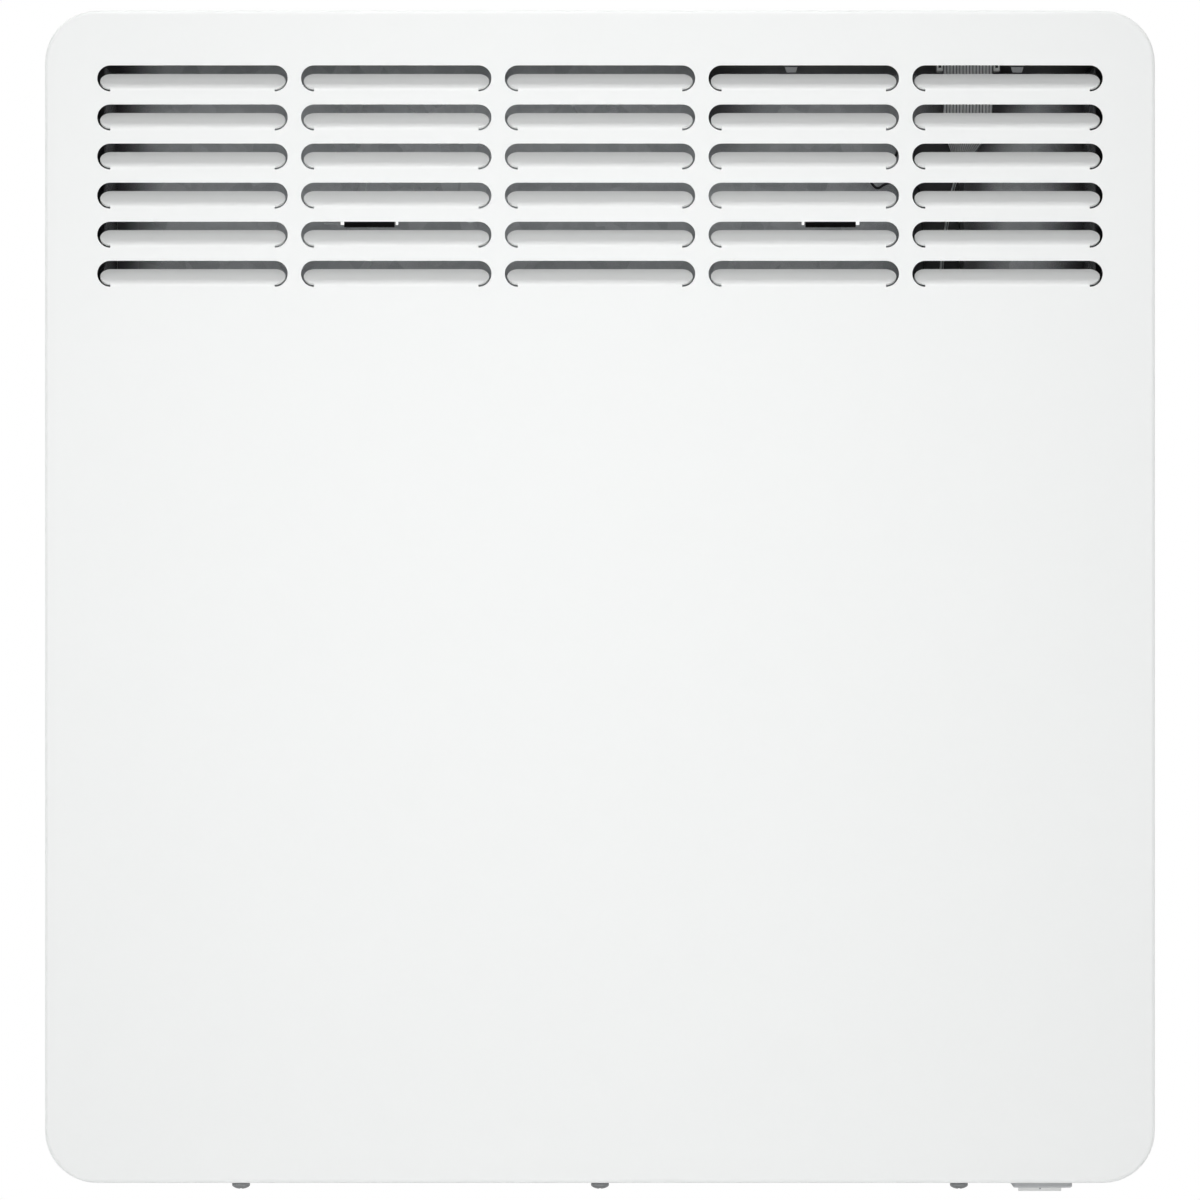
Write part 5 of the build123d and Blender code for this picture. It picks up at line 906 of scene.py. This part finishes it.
# Digit, its place right of the first and over its foot, and size
READING = (
    ("2", 0.0, 0.0, 1.0), ("1", DIGIT_STEP, 0.0, 1.0), ("5", 2 * DIGIT_STEP + 0.0012, 0.0, 1.0),
    ("C", 3 * DIGIT_STEP + 0.0048, 0.003, 0.65),
)
POINT = (2 * DIGIT_STEP - 0.0012, 0.0004, 0.0012)  # place, length and width
DEGREE = (3 * DIGIT_STEP + 0.0030, 0.0088, 0.0009, 0.0006)  # place, radius and width
DAYS = 7
DAY_STEP = 0.0045
DAY_DROP = 0.0062  # under the digits' foot
DAY_MARK = (0.0022, 0.0009)  # length and width


def digit(letter, x, y, z, size):
    """Segments of a digit with its lower left corner at x, y. It leans by a share of its height."""
    width, height = DIGIT[0] * size, DIGIT[1] * size
    bars = []
    for name in DIGITS[letter]:
        ends = [(x + u * width + v * height * DIGIT_LEAN, y + v * height) for u, v in SEGMENTS[name]]
        bars.append(bar(*ends, DIGIT_STROKE * size, z, DISPLAY_INK, SEGMENT_GAP * size))
    return bars


def display_ink():
    """Segments of the display under its window: a temperature, a degree sign and a row of day marks."""
    x = low("display_window")[0] + DISPLAY_INSET
    y = middle("display_window")[1] - DISPLAY_DROP
    z = low("display_window")[2] + DISPLAY_INK
    shapes = []
    for letter, right, up, size in READING:
        shapes += digit(letter, x + right, y + up, z, size)
    right, length, width = POINT
    shapes.append(bar((x + right, y), (x + right + length, y), width, z, DISPLAY_INK))
    right, up, radius, width = DEGREE
    shapes += ring((x + right, y + up), radius, width, z, DISPLAY_INK)
    length, width = DAY_MARK
    for left in x + DAY_STEP * np.arange(DAYS):
        shapes.append(bar((left, y - DAY_DROP), (left + length, y - DAY_DROP), width, z, DISPLAY_INK))
    piece("display_segments", *joined(shapes), "dark_plastic", "heater", smooth=False)


# ---- Keys ----
KEY_HALF = (0.0048, 0.0038)
KEY_CORNER = 0.0012
KEY_EDGE = 0.0005
KEY_EDGE_STEPS = 6
KEY_CORNER_SHRINK = 0.3  # how much the corner's radius follows the rounded edge
KEY_DISH = 0.00035
KEY_DISH_STEPS = 10
KEY_DISH_ENDS = (0.9, 0.08)  # shares of the way out of the dish's first and last ring
KEY_SEAT = 0.0021  # cap's top to the flange's
KEY_FLANGE = (0.0007, 0.001)  # how far it stands out, and thickness
KEY_FLANGE_CORNER = 0.0002
KEY_STEM_R = 0.0015
ICON_SINK = 0.00003
ICON_RISE = 0.00012
ICON_STROKE = 0.00055
ICON_FINE_STROKE = 0.00044
ICON_HALF = 0.0013
ICON_ROW_STEP = 0.0011
STANDBY_R = 0.0012
STANDBY_OPEN = 0.8  # share of the ring that is drawn
STANDBY_BAR = (0.0003, 0.0016)


def key_cap(number):
    """Push key: a stem, a flange and a rounded cap.

    The cap's top dips by dish * (1 - s^2), with s going from 0 in the middle to 1 at the rim.
    """
    node = f"key_{number}"
    x, y, _ = middle(node)
    foot, top = low(node)[2], high(node)[2]
    seat = top - KEY_SEAT
    half_x, half_y = KEY_HALF
    out, flange_t = KEY_FLANGE
    levels = [(z, KEY_STEM_R, KEY_STEM_R, KEY_STEM_R) for z in (foot, seat - flange_t)]
    levels += [(z, half_x + out, half_y + out, KEY_FLANGE_CORNER) for z in (seat - flange_t, seat)]
    levels.append((seat, half_x, half_y, KEY_CORNER))
    for turn in np.linspace(0, QUARTER_TURN, KEY_EDGE_STEPS):
        inset = KEY_EDGE * (1 - math.cos(turn))
        z = top - KEY_EDGE + KEY_EDGE * math.sin(turn)
        levels.append((z, half_x - inset, half_y - inset, KEY_CORNER - KEY_CORNER_SHRINK * inset))
    rim = (half_x - KEY_EDGE, half_y - KEY_EDGE, KEY_CORNER - KEY_CORNER_SHRINK * KEY_EDGE)
    for s in np.linspace(*KEY_DISH_ENDS, KEY_DISH_STEPS):
        levels.append((top - KEY_DISH * (1 - s * s), *(s * size for size in rim)))
    cap = piece(f"key_cap_{number}", *stack((x, y, 0.0), levels), "grey_plastic", node)
    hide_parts(node)
    icon = KEY_ICONS[number](x, y, top - KEY_DISH - ICON_SINK)
    piece(f"key_icon_{number}", *joined(icon), "dark_plastic", node, smooth=False)


def minus_icon(x, y, z, stroke=ICON_STROKE):
    return [bar((x - ICON_HALF, y), (x + ICON_HALF, y), stroke, z, ICON_RISE)]


def plus_icon(x, y, z):
    upright = bar((x, y - ICON_HALF), (x, y + ICON_HALF), ICON_STROKE, z, ICON_RISE)
    return [*minus_icon(x, y, z), upright]


def list_icon(x, y, z):
    return [minus_icon(x, y + row * ICON_ROW_STEP, z, ICON_FINE_STROKE)[0] for row in (-1, 0, 1)]


def standby_icon(x, y, z):
    foot, top = STANDBY_BAR
    upright = bar((x, y + foot), (x, y + top), ICON_FINE_STROKE, z, ICON_RISE)
    return [*ring((x, y), STANDBY_R, ICON_FINE_STROKE, z, ICON_RISE, STANDBY_OPEN), upright]


KEY_ICONS = {1: minus_icon, 2: plus_icon, 3: list_icon, 4: standby_icon}


# ---- Rocker's marks ----
ROCKER_TILT = math.radians(-12.0)
ROCKER_FACE = 0.005  # pivot to the middle of the rocker's face
ROCKER_SLOPE = 0.22
MARK_PLACE = 0.0062  # from the rocker's middle
MARK_STROKE = 0.0008
MARK_T = 0.0001
MARK_OUT = 0.6  # share of the mark's thickness that stands out of the face
ON_HALF = 0.0014
OFF_R = 0.0015


def rocker_marks():
    """ON and OFF marks, a bar and a ring, on the rocker's two sloping halves.

    Each is laid flat, put on its half at height -face - slope * |y|, and turned with the rocker about its
    pivot.
    """
    on = bar((0, MARK_PLACE - ON_HALF), (0, MARK_PLACE + ON_HALF), MARK_STROKE, 0, MARK_T)
    points, faces = joined([on, *ring((0, -MARK_PLACE), OFF_R, MARK_STROKE, 0, MARK_T)])
    x, y, z = points.T
    z = z - ROCKER_FACE - ROCKER_SLOPE * abs(y) - MARK_OUT * MARK_T
    cos, sin = math.cos(ROCKER_TILT), math.sin(ROCKER_TILT)
    placed = np.stack([x, y * cos - z * sin, y * sin + z * cos], axis=1) + joint("rocker_tip")["pos_m"]
    piece("rocker_marks", placed, faces, "grey_plastic", "rocker", smooth=False)


# ---- Latch springs ----
SPRING_WIRE_R = 0.0004
SPRING_WIRE_SIDES = 10
SPRING_TURNS = 6
SPRING_STEPS = 40  # points to a turn
SPRING_FLAT = 0.75  # how far the end turns close up


def latch_spring(side):
    """Compression spring: a helix whose pitch is close at both ends and open in the middle.

    Over a share s of its length the turn is 2 pi * turns * s, and the height follows s with the ends
    flattened: s - flat * sin(2 pi s) / (2 pi).
    """
    node = f"latch_spring_{side}"
    lowest, highest = low(node), high(node)
    centre = middle(node)
    length = highest[2] - lowest[2]
    radius = (highest[0] - lowest[0]) / 2 - SPRING_WIRE_R
    s = np.linspace(0, 1, SPRING_TURNS * SPRING_STEPS)
    turn = FULL_TURN * SPRING_TURNS * s
    rise = s - SPRING_FLAT * np.sin(FULL_TURN * s) / FULL_TURN
    z = lowest[2] + SPRING_WIRE_R + rise * (length - 2 * SPRING_WIRE_R)
    path = np.stack([centre[0] + radius * np.cos(turn), centre[1] + radius * np.sin(turn), z], axis=1)
    coil = capped(swept(path, SPRING_WIRE_R, SPRING_WIRE_SIDES))
    made = piece(f"spring_coil_{side}", *coil, "plain_steel", "bracket")
    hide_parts(node)
    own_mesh(made)


make_camera()
make_world()
make_lamps()
make_floor()
dress_nodes()
ribbon()
for node in LEADS:
    lead(node)
snap_lugs()
connector_ears()
pan_heads()
display_ink()
for number in KEY_ICONS:
    key_cap(number)
rocker_marks()
for side in ("left", "right"):
    latch_spring(side)
bpy.context.scene.view_settings.view_transform = "Standard"
